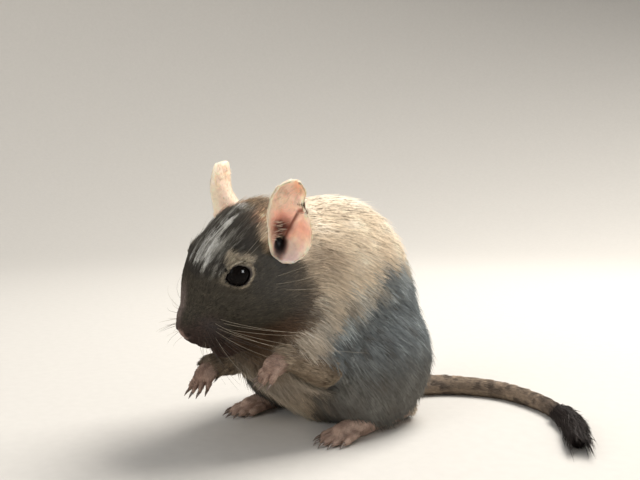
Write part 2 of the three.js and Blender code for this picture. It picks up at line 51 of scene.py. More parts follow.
EYE_FACING = np.array([0.94, -0.2, 0.28])
EYE_TO_NOSE = np.array([-0.48, -0.86, 0.16])  # the way the eye's long axis points
EYE_OPENING = (3.5, 2.72)  # half width and half height between the lids
EAR_LENGTH = 24.0
GRID = 0.42  # of the skin's mesh
SKIN_BOX = (-40, -68, -1), (84, 74, 92)
SEED = 7
TUFTS = {"left": 33000, "right": 30000}  # in each of a side's three coat pieces; the photograph shows the left
LIMB_TUFTS, BRUSH_TUFTS, EAR_TUFTS = 30000, 2600, 5200
FAR = 60.0  # a field's value where its form is nowhere near
BRUSH_SHARE = 0.26  # of the tail's length
ROOT_DEPTH = 0.35  # of a tuft, below the skin
BELOW_BEND, ABOVE_BEND = 0.42, 0.58  # shares of a tuft's length
LIFT_SPREAD, SWING_SPREAD, TONE_SPREAD = 4.5, 9, 0.045
GUARD_SHARE, GUARD_LENGTH, GUARD_WIDTH, GUARD_LIFT = 0.05, 1.35, 0.6, 9  # hairs that stand out of the coat
EAR_ROWS, EAR_COLUMNS = 84, 56
EAR_THICKNESS = 0.42  # half of it
EARHOLE_MARGIN = 0.35  # no hair grows or points closer than this to the space in an ear's bowl

SIDES = (("left", 1), ("right", -1))


def vec(*values):
    return np.array(values, float)


def unit(v):
    return v / np.maximum(np.linalg.norm(v, axis=-1, keepdims=True), 1e-9)


def dot(a, b):
    return (a * b).sum(-1)


def lerp(a, b, t):
    return a + (b - a) * t


def smooth(x, low, high):
    t = np.clip((x - low) / (high - low), 0, 1)
    return t * t * (3 - 2 * t)


def circle(sides):
    """Angles round a full turn."""
    return np.linspace(0, 2 * np.pi, sides, endpoint=False)


def gauss(x, width):
    return np.exp(-((x / width) ** 2))


def turn(axis, degrees):
    a = np.radians(degrees)
    j, k = (axis + 1) % 3, (axis + 2) % 3
    m = np.eye(3)
    m[j, j] = m[k, k] = np.cos(a)
    m[j, k], m[k, j] = -np.sin(a), np.sin(a)
    return m


HEAD_TURN = turn(2, HEAD_YAW) @ turn(0, HEAD_PITCH) @ turn(1, HEAD_ROLL)


def to_head(p):
    return (p - HEAD_AT) @ HEAD_TURN


def from_head(q):
    return q @ HEAD_TURN.T + HEAD_AT


def way_from_head(d):
    return d @ HEAD_TURN.T


def on_left(p):
    """The point, or its mirror image on the left."""
    return np.concatenate([np.abs(p[..., :1]), p[..., 1:]], -1)


def mirror(p, sign):
    return p * vec(sign, 1, 1)


def noise(p, size, seed=0):
    """Smooth noise from -1 to 1 with features of about this size."""
    g = p / size
    base = np.floor(g).astype(np.int64)
    f = g - base
    f = f * f * (3 - 2 * f)
    total = np.zeros(len(p))
    for corner in range(8):
        o = np.array([corner & 1, corner >> 1 & 1, corner >> 2 & 1])
        c = base + o
        h = (c[:, 0] * 73856093) ^ (c[:, 1] * 19349663) ^ (c[:, 2] * 83492791) ^ (seed * 2654435761)
        h = (h ^ (h >> 13)) * 1274126177 & 0x7FFFFFFF
        value = (h ^ (h >> 15)) % 65536 / 32767.5 - 1
        total += value * np.prod(np.where(o, f, 1 - f), axis=1)
    return total


# Fields: negative inside a form, and about the distance in millimetres.


def ellipsoid(p, centre, radii):
    d = (p - vec(*centre)) / vec(*radii)
    near = np.sqrt(dot(d, d))
    d = d / vec(*radii)
    return near * (near - 1) / np.maximum(np.sqrt(dot(d, d)), 1e-6)


def cone(p, a, b, radius_a, radius_b):
    a, b = vec(*a), vec(*b)
    along = b - a
    d = p - a
    t = np.clip(d @ along / (along @ along), 0, 1)
    d = d - t[..., None] * along
    return np.sqrt(dot(d, d)) - lerp(radius_a, radius_b, t)


def join(a, b, width):
    h = np.clip(0.5 + 0.5 * (b - a) / width, 0, 1)
    return lerp(b, a, h) - width * h * (1 - h)


def carve(a, b, width):
    """a without b."""
    return -join(-a, b, width)


def head_field(q):
    m = on_left(q)
    f = ellipsoid(q, (0, 11, -3), (15.5, 17, 13.5))  # skull
    f = join(f, ellipsoid(q, (0, 0, -2), (12.5, 14, 12)), 6)  # forehead
    f = join(f, cone(q, (0, -3, -4), (0, -14.5, -7), 10.5, 7.2), 5)  # muzzle
    f = join(f, ellipsoid(m, (7.5, 4, -10), (11.5, 14, 10)), 6)  # cheeks
    f = join(f, ellipsoid(m, (3.6, -14.5, -10), (4.8, 6, 4.8)), 3)  # whisker pads
    f = join(f, ellipsoid(q, (0, -11.2, -18.2), (5.6, 7, 5.2)), 3)  # chin
    return join(f, ellipsoid(q, (0, -19.4, -6.6), (3.6, 2.8, 3)), 2)  # nose


def trunk_field(p):
    m = on_left(p)
    f = ellipsoid(p, (0, 5, 37), (26, 31, 37))  # back
    f = join(f, ellipsoid(p, (0, -13, 42), (20, 19, 25)), 14)  # chest
    f = join(f, ellipsoid(p, (0, 17, 20.5), (25, 22, 21.5)), 12)  # rump
    f = join(f, ellipsoid(m, (18, 6, 19.5), (13, 22, 18)), 8)  # haunches
    f = join(f, ellipsoid(m, (15, -18, 34), (9, 11, 15)), 8)  # shoulders
    return join(f, cone(p, from_head(vec(0, 13, -5.5)), (0, -6, 47), 13.5, 19), 12)  # neck


def head_share(q):
    """1 on the head, 0 on the trunk."""
    return 1 - smooth(ellipsoid(q, (0, -2, 0), (28, 24, 25)), -5, 6)


def coat_depth(q):
    """How far the skin lies inside the outline of the coat."""
    face = 0.12 + 0.75 * smooth(q[..., 1], -20, -3) + 0.45 * smooth(q[..., 1], 4, 20)
    return lerp(1.9, face, head_share(q))


def body_field(p, q):
    """The skin of the trunk and head, before the face's openings."""
    return join(trunk_field(p), head_field(q), 6) + coat_depth(q)


# The eye's own axes: towards the nose, up, and out along its facing, all for the left side.
EYE_OUT = unit(EYE_FACING)
EYE_LONG = unit(EYE_TO_NOSE - (EYE_TO_NOSE @ EYE_OUT) * EYE_OUT)
EYE_UP = np.cross(EYE_OUT, EYE_LONG)
EYE_UP = EYE_UP if EYE_UP[2] > 0 else -EYE_UP


def eye_opening(m):
    """About the distance outside the opening between the lids, and the height out of the eye."""
    d = m - EYE_AT
    u, w, out = d @ EYE_LONG - 0.32, d @ EYE_UP - 0.15, d @ EYE_OUT
    half_width, half_height = EYE_OPENING
    narrowing = 1 - 0.3 * smooth(u, 0.6, half_width * 1.05) - 0.12 * smooth(-u, 1.2, half_width)
    shape = np.sqrt((u / half_width) ** 2 + (w / (half_height * narrowing)) ** 2)
    return (shape - 1) * 3, out


MOUTH_FROM = vec(0, -9, -9)


def mouth_place(q):
    """The turn round the muzzle in degrees, and the height above the mouth's line in millimetres."""
    d = q - MOUTH_FROM
    reach = np.maximum(np.sqrt(dot(d, d)), 1e-6)
    sideways = np.degrees(np.arctan2(d[..., 0], -d[..., 1]))
    lift = np.degrees(np.arcsin(np.clip(d[..., 2] / reach, -1, 1)))
    line = -26 - 16 * np.abs(np.sin(np.radians(sideways)))
    return sideways, np.radians(lift - line) * reach


# The ear's axes and its rim: height, then front and rear edge, in parts of its length.
EAR_AT = vec(17.3, 11.5, -2.7)
EAR_UPS = {"left": unit(vec(0.185, 0.594, 0.783)), "right": unit(vec(0.49, 0.65, 0.57))}
EAR_FACINGS = {"left": vec(0.876, -0.46, 0.142), "right": vec(0.72, -0.68, 0.14)}
EAR_RIM = np.array([
    [0, -0.07, 0.07], [0.06, -0.16, 0.14], [0.13, -0.21, 0.2], [0.25, -0.25, 0.24],
    [0.37, -0.27, 0.24], [0.5, -0.3, 0.205], [0.6, -0.32, 0.16], [0.7, -0.31, 0.09],
    [0.78, -0.3, 0.085], [0.87, -0.26, 0.1], [0.94, -0.21, 0.07], [0.985, -0.13, 0.03], [1, -0.09, 0],
])
CANAL_AT = vec(12.8, 14.3, 0.3)


def ear_axes(name):
    up = EAR_UPS[name]
    facing = unit(EAR_FACINGS[name] - (EAR_FACINGS[name] @ up) * up)
    return up, facing, np.cross(up, facing)


def ear_depth(height, t):
    """How far the bowl's middle surface lies behind its rim's plane, in parts of the ear's length."""
    deep = 0.23 * np.sqrt(np.clip(height / 0.16, 0, 1)) * lerp(1, 0.3, smooth(height, 0.25, 0.95))
    return deep * (1 - t**4) + 0.08 * smooth(height, 0.5, 1)


def ear_place(m, name):
    """Height and side place in the ear, and how far a point lies in front of its bowl, in millimetres."""
    up, facing, back = ear_axes(name)
    d = (m - EAR_AT) / EAR_LENGTH
    height, across, out = d @ up, d @ back, d @ facing
    front = np.interp(height, EAR_RIM[:, 0], EAR_RIM[:, 1])
    rear = np.interp(height, EAR_RIM[:, 0], EAR_RIM[:, 2])
    t = 2 * (across - front) / (rear - front) - 1
    before = (out + ear_depth(height, np.clip(t, -1, 1))) * EAR_LENGTH
    return height, t, before, (rear - front) * EAR_LENGTH / 2


def ear_room(q):
    """The space in front of each ear's bowl."""
    m = on_left(q)
    rooms = []
    for name, sign in SIDES:
        height, t, before, half = ear_place(m, name)
        flare = 0.2 - 0.55 * np.maximum(before, 0)
        inside = np.maximum(np.maximum(-before, (np.abs(t) - 1) * half + flare), flare - height * EAR_LENGTH)
        inside = np.where(q[..., 0] * sign > 0, inside, FAR)
        rooms.append(inside)
    pit = ellipsoid(m, CANAL_AT, (4.2, 2.6, 3.4))
    return join(np.minimum(rooms[0], rooms[1]), pit, 0.5)


def ray_to(field, start, way, reach=60.0, step=0.4):
    """Where a ray from inside a form leaves it."""
    steps = np.arange(step, reach, step)
    out = field(start + steps[:, None] * way)
    first = np.argmax(out > 0)
    low, high = steps[max(first - 1, 0)], steps[first]
    for _ in range(20):
        middle = (low + high) / 2
        if field((start + way * middle)[None])[0] < 0:
            low = middle
        else:
            high = middle
    return start + way * (low + high) / 2


NOSTRIL_AT = ray_to(head_field, vec(0, -16, -7), unit(vec(2.3, -4.4, 1)))


def face_field(q, f):
    """Adds lids, nose, mouth and the seats of the ears to a field of the head's skin."""
    m = on_left(q)
    apart = np.sqrt(dot(m - EYE_AT, m - EYE_AT))
    around, out = eye_opening(m)
    f = join(f, apart - (EYE_RADIUS + 0.45), 2.0)
    f = f + 0.28 * gauss(around - 1.5, 0.5) * smooth(out, 0.5, 2)  # crease outside each lid
    f = carve(f, np.maximum(around, -out), 0.5)
    f = carve(f, apart - (EYE_RADIUS + 0.03), 0.05)
    sideways, above = mouth_place(q)
    mouth = (1 - smooth(np.abs(sideways), 58, 80)) * smooth(-q[..., 1], 6, 10)
    lips = 0.3 * gauss(above - 1.3, 0.8), 0.22 * gauss(above + 1.2, 0.7)
    f = f + mouth * (0.75 * gauss(above, 0.42) - lips[0] - lips[1])
    split = smooth(above, 0.2, 0.8) * (1 - smooth(above, 5.0, 6.5)) * smooth(-q[..., 1], 13, 15)
    f = f + 0.6 * split * gauss(q[..., 0], 0.34)
    f = carve(f, ellipsoid(m, NOSTRIL_AT + vec(0.1, 0.1, 0), (0.62, 1.2, 0.75)), 0.3)
    return carve(f, ear_room(q), 0.3)


# Limbs and tail as chains of cones, each with its points, its radii at the skin and the width of its joins.
ELBOW = {"left": vec(20, -17, 23), "right": vec(-18, -19, 21.5)}
WRIST = {"left": vec(17.5, -30, 28), "right": vec(-13.5, -33.5, 21)}
HEEL = vec(20.5, 19, 4.2)
FOOT_END = vec(21.5, -12, 2.6)
SHANK_LINE = [vec(20, 2, 16), vec(20.5, 9, 11.5), vec(20.5, 15.5, 8), vec(20.5, 19, 5)]
TAIL_POINTS = np.array([
    (0, 26, 6.5), (2.5, 42, 4), (12, 57, 3.3), (29, 65, 2.8), (48, 61, 2.5), (64, 49, 2.2), (75, 34, 2),
], float)
TAIL_STEPS = 60


def catmull(points, samples):
    """A centripetal Catmull-Rom curve through the points, at even steps of length."""
    ends = [2 * points[0] - points[1], *points, 2 * points[-1] - points[-2]]
    line = []
    for i in range(len(points) - 1):
        p0, p1, p2, p3 = ends[i : i + 4]
        t0, t1, t2 = (np.linalg.norm(b - a) ** 0.5 for a, b in ((p0, p1), (p1, p2), (p2, p3)))
        m1 = ((p1 - p0) / t0 - (p2 - p0) / (t0 + t1) + (p2 - p1) / t1) * t1
        m2 = ((p2 - p1) / t1 - (p3 - p1) / (t1 + t2) + (p3 - p2) / t2) * t1
        for t in np.linspace(0, 1, 60, endpoint=False):
            h = (2 * t**3 - 3 * t**2 + 1, t**3 - 2 * t**2 + t, -2 * t**3 + 3 * t**2, t**3 - t**2)
            line.append(h[0] * p1 + h[1] * m1 + h[2] * p2 + h[3] * m2)
    line.append(points[-1])
    line = np.array(line)
    lengths = np.concatenate([[0], np.cumsum(np.linalg.norm(np.diff(line, axis=0), axis=1))])
    at = np.linspace(0, lengths[-1], samples)
    return np.stack([np.interp(at, lengths, line[:, i]) for i in range(3)], 1)


TAIL = catmull(TAIL_POINTS, TAIL_STEPS + 1)


def tail_radius(t):
    return lerp(4.2, 2.3, np.minimum(1, t * 1.1)) + 1.6 * np.exp(-t * 14)


chains = []
claws = []


def add_chain(kind, points, radii, width):
    chains.append((kind, np.array(points, float), np.array(radii, float), width))


def add_digit(kind, root, forward, length, radius, droop, claw):
    t = np.array([0, 0.35, 0.7, 1])
    points = root + forward * (length * t)[:, None] + vec(0, 0, -1) * (droop * t * t)[:, None]
    radii = radius * (1 - 0.25 * t + 0.12 * np.sin(t * np.pi * 3)) - 0.24
    radii[-1] *= 0.75
    points[-1] -= unit(points[-1] - points[-2]) * radii[-1] * 0.8
    add_chain(kind, points, radii, 0.35)
    tip = root + forward * length + vec(0, 0, -droop) - forward * 0.4
    t = np.linspace(0, 1, 6)
    line = tip + forward * (claw * t + 0.3)[:, None] + vec(0, 0, 1) * (0.35 - claw * 0.35 * t * t)[:, None]
    claws.append((line, np.interp(t, [0, 0.5, 1], [0.48, 0.38, 0.06])))


for name, sign in SIDES:
    elbow, wrist = ELBOW[name], WRIST[name]
    t = np.linspace(0, 1, 5)[:, None]
    add_chain("forearm_" + name, lerp(elbow, wrist, t), [4.6, 4.5, 3.9, 3.3, 3.0], 3.0)
    forward = unit(vec(-0.25 * sign, -0.9, -0.45))
    inward = vec(-sign, 0, 0)
    inward = unit(inward - (inward @ forward) * forward)
    palm_end = wrist + forward * 6
    t = np.array([0, 0.4, 0.8, 1.0])[:, None]
    add_chain("hand_" + name, lerp(wrist, palm_end, t), [2.8, 3.1, 3.1, 2.3], 1.5)
    for i in range(4):
        spread = i / 3 - 0.5
        root = palm_end + inward * spread * 5.2 + forward * (-1.4 - 2 * spread**2)
        aim = unit(forward + inward * spread * 0.5)
        add_digit("hand_" + name, root, aim, 5.6 - 2 * abs(spread), 1.25, 2.6, 2)
    thumb, aim = wrist + forward * 2.6 + inward * 2.4, unit(forward + inward * 0.7)
    add_digit("hand_" + name, thumb, aim, 2.4, 1.1, 0.8, 0.7)
    flip = vec(sign, 1, 1)
    add_chain("shank_" + name, [p * flip for p in SHANK_LINE], [5.6, 5.4, 4.3, 3.5], 3.0)
    t = np.array([0, 0.12, 0.4, 0.7, 1])[:, None]
    add_chain("foot_" + name, lerp(HEEL, FOOT_END, t) * flip, [2.9, 3.75, 3.5, 3.6, 2.8], 1.5)
    ahead = unit(FOOT_END - HEEL)
    outward = unit(vec(-ahead[1], ahead[0], 0))
    for i in range(5):
        spread = i / 4 - 0.5
        root = FOOT_END + outward * spread * 7.2 + ahead * (-0.5 - 9 * spread**2) + vec(0, 0, -0.6)
        aim = unit(ahead + outward * spread * 0.4)
        add_digit("foot_" + name, root * flip, aim * flip, 8.2 - 5 * spread**2, 1.6, 0.7, 2.6)
steps = np.linspace(0, 1, 22)
add_chain("tail", TAIL[np.round(steps * TAIL_STEPS).astype(int)], tail_radius(steps) - 0.45, 2.5)

KINDS = ["body"] + list(dict.fromkeys(kind for kind, *_ in chains))


def kind_fields(p):
    """One field for each kind of limb, far away where a limb isn't near."""
    fields = {kind: np.full(len(p), FAR) for kind in KINDS[1:]}
    for kind, points, radii, width in chains:
        low, high = points.min(0) - radii.max() - 5, points.max(0) + radii.max() + 5
        near = np.nonzero(((p > low) & (p < high)).all(1))[0]
        if len(near) == 0:
            continue
        f = np.full(len(near), FAR)
        for a, b, ra, rb in zip(points, points[1:], radii, radii[1:]):
            f = join(f, cone(p[near], a, b, ra, rb), 0.3)
        fields[kind][near] = join(fields[kind][near], f, min(width, 0.9))
    return fields


def skin_field(p):
    q = to_head(p)
    f = body_field(p, q)
    near = np.nonzero((np.abs(q) < vec(24, 32, 28)).all(1))[0]
    f[near] = face_field(q[near], f[near])
    limbs = kind_fields(p)
    for name, _ in SIDES:
        arm = join(limbs["forearm_" + name], limbs["hand_" + name], 1.5)
        leg = join(limbs["shank_" + name], limbs["foot_" + name], 2.0)
        f = join(join(f, arm, 2.5), leg, 2.5)
    f = join(f, limbs["tail"], 2.5)
    return np.maximum(f, 0.15 - p[:, 2])  # flat where it rests on the floor


def surface_net(field, low, high, cell):
    """A quad mesh of a field's surface, on a grid worked out only near the surface."""
    low = np.array(low, float)
    size = 8  # cells along a block's side, halved until it is 1
    counts = np.ceil((np.array(high) - low) / (cell * size)).astype(int)
    blocks = np.stack(np.meshgrid(*[np.arange(n) for n in counts], indexing="ij"), -1).reshape(-1, 3) * size
    halves = np.array([[i & 1, i >> 1 & 1, i >> 2 & 1] for i in range(8)])
    half_diagonal, overshoot, margin = 0.87, 1.35, 0.9
    while True:
        far = np.abs(field(low + (blocks + size / 2) * cell))
        blocks = blocks[far < size * cell * half_diagonal * overshoot + margin]
        if size == 1:
            break
        size //= 2
        blocks = (blocks[:, None] + halves * size).reshape(-1, 3)
    side = int(counts.max() * 8 + 2)  # more than there are cells along any side of the grid

    def key(c):
        return (c[..., 0] * side + c[..., 1]) * side + c[..., 2]

    corners = key(blocks[:, None] + halves)
    points, inverse = np.unique(corners, return_inverse=True)
    inverse = inverse.reshape(corners.shape)
    xyz = np.stack([points // side // side, points // side % side, points % side], -1)
    value = field(low + xyz * cell)
    inside = value < 0
    mixed = inside[inverse].any(1) & ~inside[inverse].all(1)
    blocks, inverse = blocks[mixed], inverse[mixed]
    total = np.zeros((len(blocks), 3))
    hits = np.zeros(len(blocks))
    for a in range(8):
        for axis in range(3):
            if a >> axis & 1:
                continue
            b = a | 1 << axis
            va, vb = value[inverse[:, a]], value[inverse[:, b]]
            cross = (va < 0) != (vb < 0)
            t = np.where(cross, va / np.where(cross, va - vb, 1), 0)
            spot = np.broadcast_to(halves[a].astype(float), (len(blocks), 3)).copy()
            spot[:, axis] += t
            total += np.where(cross[:, None], spot, 0)
            hits += cross
    vertices = low + (blocks + total / hits[:, None]) * cell
    block_key = key(blocks)
    order = np.argsort(block_key)
    sorted_key = block_key[order]
    quads = []
    for axis in range(3):
        b, c = (axis + 1) % 3, (axis + 2) % 3
        va, vb = inside[inverse[:, 0]], inside[inverse[:, 1 << axis]]
        crossing = va != vb
        cells = blocks[crossing]
        around = []
        for db, dc in ((1, 1), (0, 1), (0, 0), (1, 0)):
            other = cells.copy()
            other[:, b] -= db
            other[:, c] -= dc
            k = key(other)
            found = np.clip(np.searchsorted(sorted_key, k), 0, len(sorted_key) - 1)
            around.append(np.where(sorted_key[found] == k, order[found], -1))
        quad = np.stack(around, 1)
        flip = ~va[crossing]
        quad[flip] = quad[flip][:, ::-1]
        quads.append(quad)
    quads = np.concatenate(quads)
    return vertices, quads[(quads >= 0).all(1)]


def vertex_normals(vertices, quads):
    a, b, c, d = (vertices[quads[:, i]] for i in range(4))
    face = np.cross(c - a, d - b)
    normals = np.zeros_like(vertices)
    for i in range(4):
        for axis in range(3):
            normals[:, axis] += np.bincount(quads[:, i], face[:, axis], len(vertices))
    return unit(normals), np.linalg.norm(face, axis=1) / 2


# Colours of the coat's pattern, with painted light and shade, as sRGB from 0 to 255. The skin and the coat
# both take them.


def mix(colour, other, share):
    return lerp(colour, np.asarray(other, float), share[:, None])


def layered(count, base, *layers):
    """A base colour, or one for each place, under layers: a colour and the share that it covers."""
    colours = np.zeros((count, 3)) + base
    for other, share in layers:
        colours = mix(colours, other, share)
    return colours


def spot(q, at, radii):
    """1 at a place, fading over these radii."""
    d = (q - vec(*at)) / vec(*radii)
    return np.exp(-dot(d, d))


def behind_hood(q):
    """About the distance behind or below the edge of the dark hood."""
    x, y, z = np.abs(q[:, 0]), q[:, 1], q[:, 2]
    rear = y - 14.2 - 0.25 * np.maximum(0, z + 2) - 0.2 * smooth(z, 5, 9) * (1 - smooth(x, 8, 13))
    rear += 0.3 * np.maximum(0, -8 - z)
    under = -19.5 + 0.15 * np.minimum(0, y) - 0.6 * np.maximum(0, -2 - y) - z
    return -join(-rear, -under, 4.0)


def silver_share(p, q):
    """The share of silver hairs: a blaze up the forehead, thin over the rest of it."""
    fine = noise(p, 1.8, 4)
    centre = lerp(1.3, 1.9, smooth(q[:, 1], -3, 5)) - 3.5 * smooth(q[:, 1], 6, 14)
    half = lerp(4.3, 2.1, smooth(q[:, 1], -3, 9))
    blaze = 1 - smooth(np.abs(q[:, 0] - centre) + 0.8 * fine, half * 0.3, half * 1.5)
    forehead = smooth(q[:, 2], 3, 7) * smooth(q[:, 1], -10.5, -3) * (1 - smooth(q[:, 1], 15, 18))
    return forehead * (0.36 + 0.64 * blaze) * (1 - 0.4 * smooth(q[:, 1], 7, 13))


def strands(q):
    """Noise drawn out along the lie of the forehead's coat."""
    thin = noise(q * vec(1 / 0.48, 1 / 5.0, 1 / 5.0), 1.0, 31)
    return 1.1 * thin + 0.42 * noise(q * vec(1 / 1.6, 1 / 9, 1 / 9), 1.0, 32)


def trunk_colours(p, q, wide, fine):
    """Cream with darker mottles, painted light on the top of the back, painted shade on the chest under the
    head, and a blue-grey rump and flanks, partly grey coat and partly painted shade.
    """
    x, ahead, z = np.abs(p[:, 0]), -p[:, 1], p[:, 2]
    behind = x - ahead
    edge = np.minimum(37.5 + 0.38 * behind - z, 1.2 * (behind - 1)) + 4.5 * wide + 3.5 * fine
    streak = noise(p * vec(1, 0.55, 0.55), 1.5, 6) + 0.6 * fine
    # the rump and flanks: grey coat with paler and darker streaks, partly painted shade
    slate_coat_and_shade = layered(
        len(p), (94, 104, 111),
        ((178, 189, 193), smooth(streak - 0.5 * wide, 0.15, 1.1) * 0.75),
        ((66, 66, 66), smooth(-streak + 0.5 * wide, 0.15, 1.1) * 0.7),
        # painted shade: darker towards the floor
        ((78, 72, 64), smooth(30 - z, 0, 16) * 0.6),
    )
    return layered(
        len(p), (222, 203, 177),
        ((190, 169, 145), smooth(wide + 0.5 * fine, -0.1, 0.8) * 0.65),
        ((243, 231, 212), smooth(-wide + 0.6 * fine, 0.1, 0.9) * 0.6),
        # painted light: paler along the top of the back, where the light from above falls
        ((246, 238, 224), smooth(z, 66, 78) * 0.6),
        ((128, 112, 96), 0.7 * spot(q, (19, 20, -9), (6, 6, 7))),
        ((150, 142, 132), smooth(ahead, 10, 22) * smooth(52 - z, 0, 18) * 0.6),
        # painted shade: darker on the chest under the head, near the middle
        ((82, 66, 50), smooth(ahead, 20, 29) * smooth(z, 10, 22) * (1 - smooth(x, 9, 18)) * 0.95),
        (slate_coat_and_shade, smooth(edge + 2 * streak, -6, 7) * 0.88),
    )


def hood_colours(p, q, fine):
    """Dark, with a pale ring round each eye, a silver blaze and pale hairs before the ears."""
    m = on_left(q)
    ahead, down = -q[:, 1], -q[:, 2]
    # where painted rim light falls along the top of the muzzle, just past its middle
    rim_lit_bridge = (1 - smooth(np.abs(q[:, 0] + 1.8) - 1.2, 0, 2.4)) * smooth(q[:, 2], -8, -5)
    around, out = eye_opening(m)
    forward = smooth((m - EYE_AT) @ EYE_LONG, 0.3, 3.4)
    above = smooth((m - EYE_AT) @ EYE_UP, 0.5, 3.0) * (1 - forward)
    beyond = np.abs(around - lerp(0.9, 1.6, above)) - lerp(0.1, 1.0, above)
    ring = gauss(np.maximum(beyond, 0), lerp(0.55, 1.4, above)) * (1 - 0.5 * forward)
    silver = silver_share(p, q) * (1 - ring * (out > 0))
    amount = smooth(strands(q) + 1.15 * silver - 0.85, -0.4, 0.6) * smooth(silver, 0.02, 0.2)
    silver_tone = lerp(vec(132, 130, 122), vec(206, 205, 198), smooth(silver, 0.3, 0.8)[:, None])
    fringe = cone(m, (11.4, 13.0, 7.2), (13.9, 10.5, 3.2), 0.0, 0.0) + 0.8 * fine
    return layered(
        len(p), (63, 58, 49),
        ((90, 80, 68), smooth(q[:, 1], 0, 12) * smooth(down, 2, 10) * 0.8),
        ((74, 57, 43), smooth(down, 12, 17) * (1 - 0.6 * smooth(q[:, 1], 0, 8))),
        # painted rim light: a paler strip along the top of the muzzle
        ((116, 103, 97), smooth(ahead, 9, 14) * rim_lit_bridge * 0.85),
        ((60, 46, 42), smooth(ahead, 10, 16) * smooth(down, 1, 5) * 0.75),
        ((186, 173, 152), lerp(0.78, 0.9, above) * ring * (out > 0)),
        ((50, 47, 44), 0.7 * smooth(silver, 0.05, 0.3)),
        (silver_tone, amount * lerp(0.75, 0.92, silver)),
        ((192, 130, 98), 0.95 * np.minimum(1, 1.7 * spot(m, (8.9, 17.6, 9.2), (3.2, 3.4, 3.4)))),
        ((212, 188, 160), 0.9 * (1 - smooth(fringe, 0.7, 2.7))),
    )


def markings_and_shade(p):
    q = to_head(p)
    wide, fine = noise(p, 7.0, 1), noise(p, 2.6, 2)
    light = smooth(behind_hood(q) + 1.5 * fine + 0.8 * noise(p, 1.1, 3), -2.4, 2.4)
    return lerp(hood_colours(p, q, fine), trunk_colours(p, q, wide, fine), light[:, None])


# Meshes

SHIFT = np.array(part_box("eye_left")[0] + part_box("eye_left")[1]) / 2 - from_head(EYE_AT) / 1000


def to_frame(p):
    return p / 1000 + SHIFT


def mesh_object(name, vertices, faces, material):
    mesh = bpy.data.meshes.new(name)
    faces = np.asarray(faces)
    mesh.vertices.add(len(vertices))
    mesh.vertices.foreach_set("co", to_frame(vertices).astype(np.float32).ravel())
    mesh.loops.add(faces.size)
    mesh.loops.foreach_set("vertex_index", faces.astype(np.int32).ravel())
    mesh.polygons.add(len(faces))
    mesh.polygons.foreach_set("loop_start", np.arange(0, faces.size, faces.shape[1], dtype=np.int32))
    mesh.polygons.foreach_set("use_smooth", np.ones(len(faces), bool))
    mesh.update(calc_edges=True)
    mesh.materials.append(material)
    piece = bpy.data.objects.new(name, mesh)
    bpy.context.scene.collection.objects.link(piece)
    return piece


def paint(piece, colours):
    """Gives each vertex an sRGB colour from 0 to 255."""
    layer = piece.data.color_attributes.new(name="Marking_and_shade", type="BYTE_COLOR", domain="POINT")
    rgba = np.concatenate([np.clip(colours, 0, 255) / 255, np.ones((len(colours), 1))], 1)
    layer.data.foreach_set("color_srgb", rgba.astype(np.float32).ravel())


def finish_piece(piece, slot, *nodes):
    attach(piece, "root")
    if nodes:
        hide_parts(*nodes)


# Materials


def linear(rgb):
    """An sRGB colour from 0 to 255 as the RGBA that a node takes."""
    shares = [c / 255 for c in rgb]
    return (*(s / 12.92 if s <= 0.04045 else ((s + 0.055) / 1.055) ** 2.4 for s in shares), 1)


class Nodes:
    """A material's node tree, built a node at a time. The values are those of its shader's sockets."""

    def __init__(self, name, **values):
        self.material = bpy.data.materials.new(name)
        self.material.use_nodes = True
        self.tree = self.material.node_tree
        self.shader = self.tree.nodes["Principled BSDF"]
        for key, value in values.items():
            self.shader.inputs[key.replace("_", " ")].default_value = value

    def add(self, kind, **values):
        node = self.tree.nodes.new("ShaderNode" + kind)
        for key, value in values.items():
            if hasattr(node, key) and key not in node.inputs:
                setattr(node, key, value)
            else:
                node.inputs[key].default_value = value
        return node

    def link(self, source, socket):
        self.tree.links.new(source, socket)


def grain_of(nodes, scale, **values):
    """Noise over the object's own coordinates, and those coordinates."""
    place = nodes.add("TexCoord").outputs["Object"]
    grain = nodes.add("TexNoise", Scale=scale, **values)
    nodes.link(place, grain.inputs["Vector"])
    return grain.outputs["Fac"], place


def tinted(nodes, scale, low, high):
    """The painted colour, made lighter and darker by noise."""
    grain, place = grain_of(nodes, scale, Detail=4.0, Roughness=0.6)
    shade = nodes.add("MapRange", **{"From Min": 0.3, "From Max": 0.7, "To Min": low, "To Max": high})
    nodes.link(grain, shade.inputs["Value"])
    colour = nodes.add("Attribute", attribute_name="Marking_and_shade")
    product = nodes.add("VectorMath", operation="MULTIPLY")
    nodes.link(colour.outputs["Color"], product.inputs[0])
    nodes.link(shade.outputs["Result"], product.inputs[1])
    nodes.link(product.outputs["Vector"], nodes.shader.inputs["Base Color"])
    return place


def bumped(nodes, place, scale, distance, strength, stretch=(1, 1, 1)):
    mapping = nodes.add("Mapping", Scale=stretch)
    nodes.link(place, mapping.inputs["Vector"])
    grain = nodes.add("TexNoise", Scale=scale, Detail=3.0)
    nodes.link(mapping.outputs["Vector"], grain.inputs["Vector"])
    bump = nodes.add("Bump", Strength=strength, Distance=distance)
    nodes.link(grain.outputs["Fac"], bump.inputs["Height"])
    nodes.link(bump.outputs["Normal"], nodes.shader.inputs["Normal"])


def painted_material(name, tint, bump=None, **values):
    """Shows a piece's painted colours. Tint and bump are what tinted() and bumped() take."""
    nodes = Nodes(name, **values)
    place = tinted(nodes, *tint)
    if bump:
        bumped(nodes, place, *bump)
    return nodes.material


def mottled_material(name, scale, detail, dark, light, **values):
    """A colour that wanders between two."""
    nodes = Nodes(name, **values)
    ramp = nodes.add("ValToRGB")
    ramp.color_ramp.elements[0].color = linear(dark)
    ramp.color_ramp.elements[1].color = linear(light)
    nodes.link(grain_of(nodes, scale, Detail=detail)[0], ramp.inputs["Fac"])
    nodes.link(ramp.outputs["Color"], nodes.shader.inputs["Base Color"])
    return nodes.material


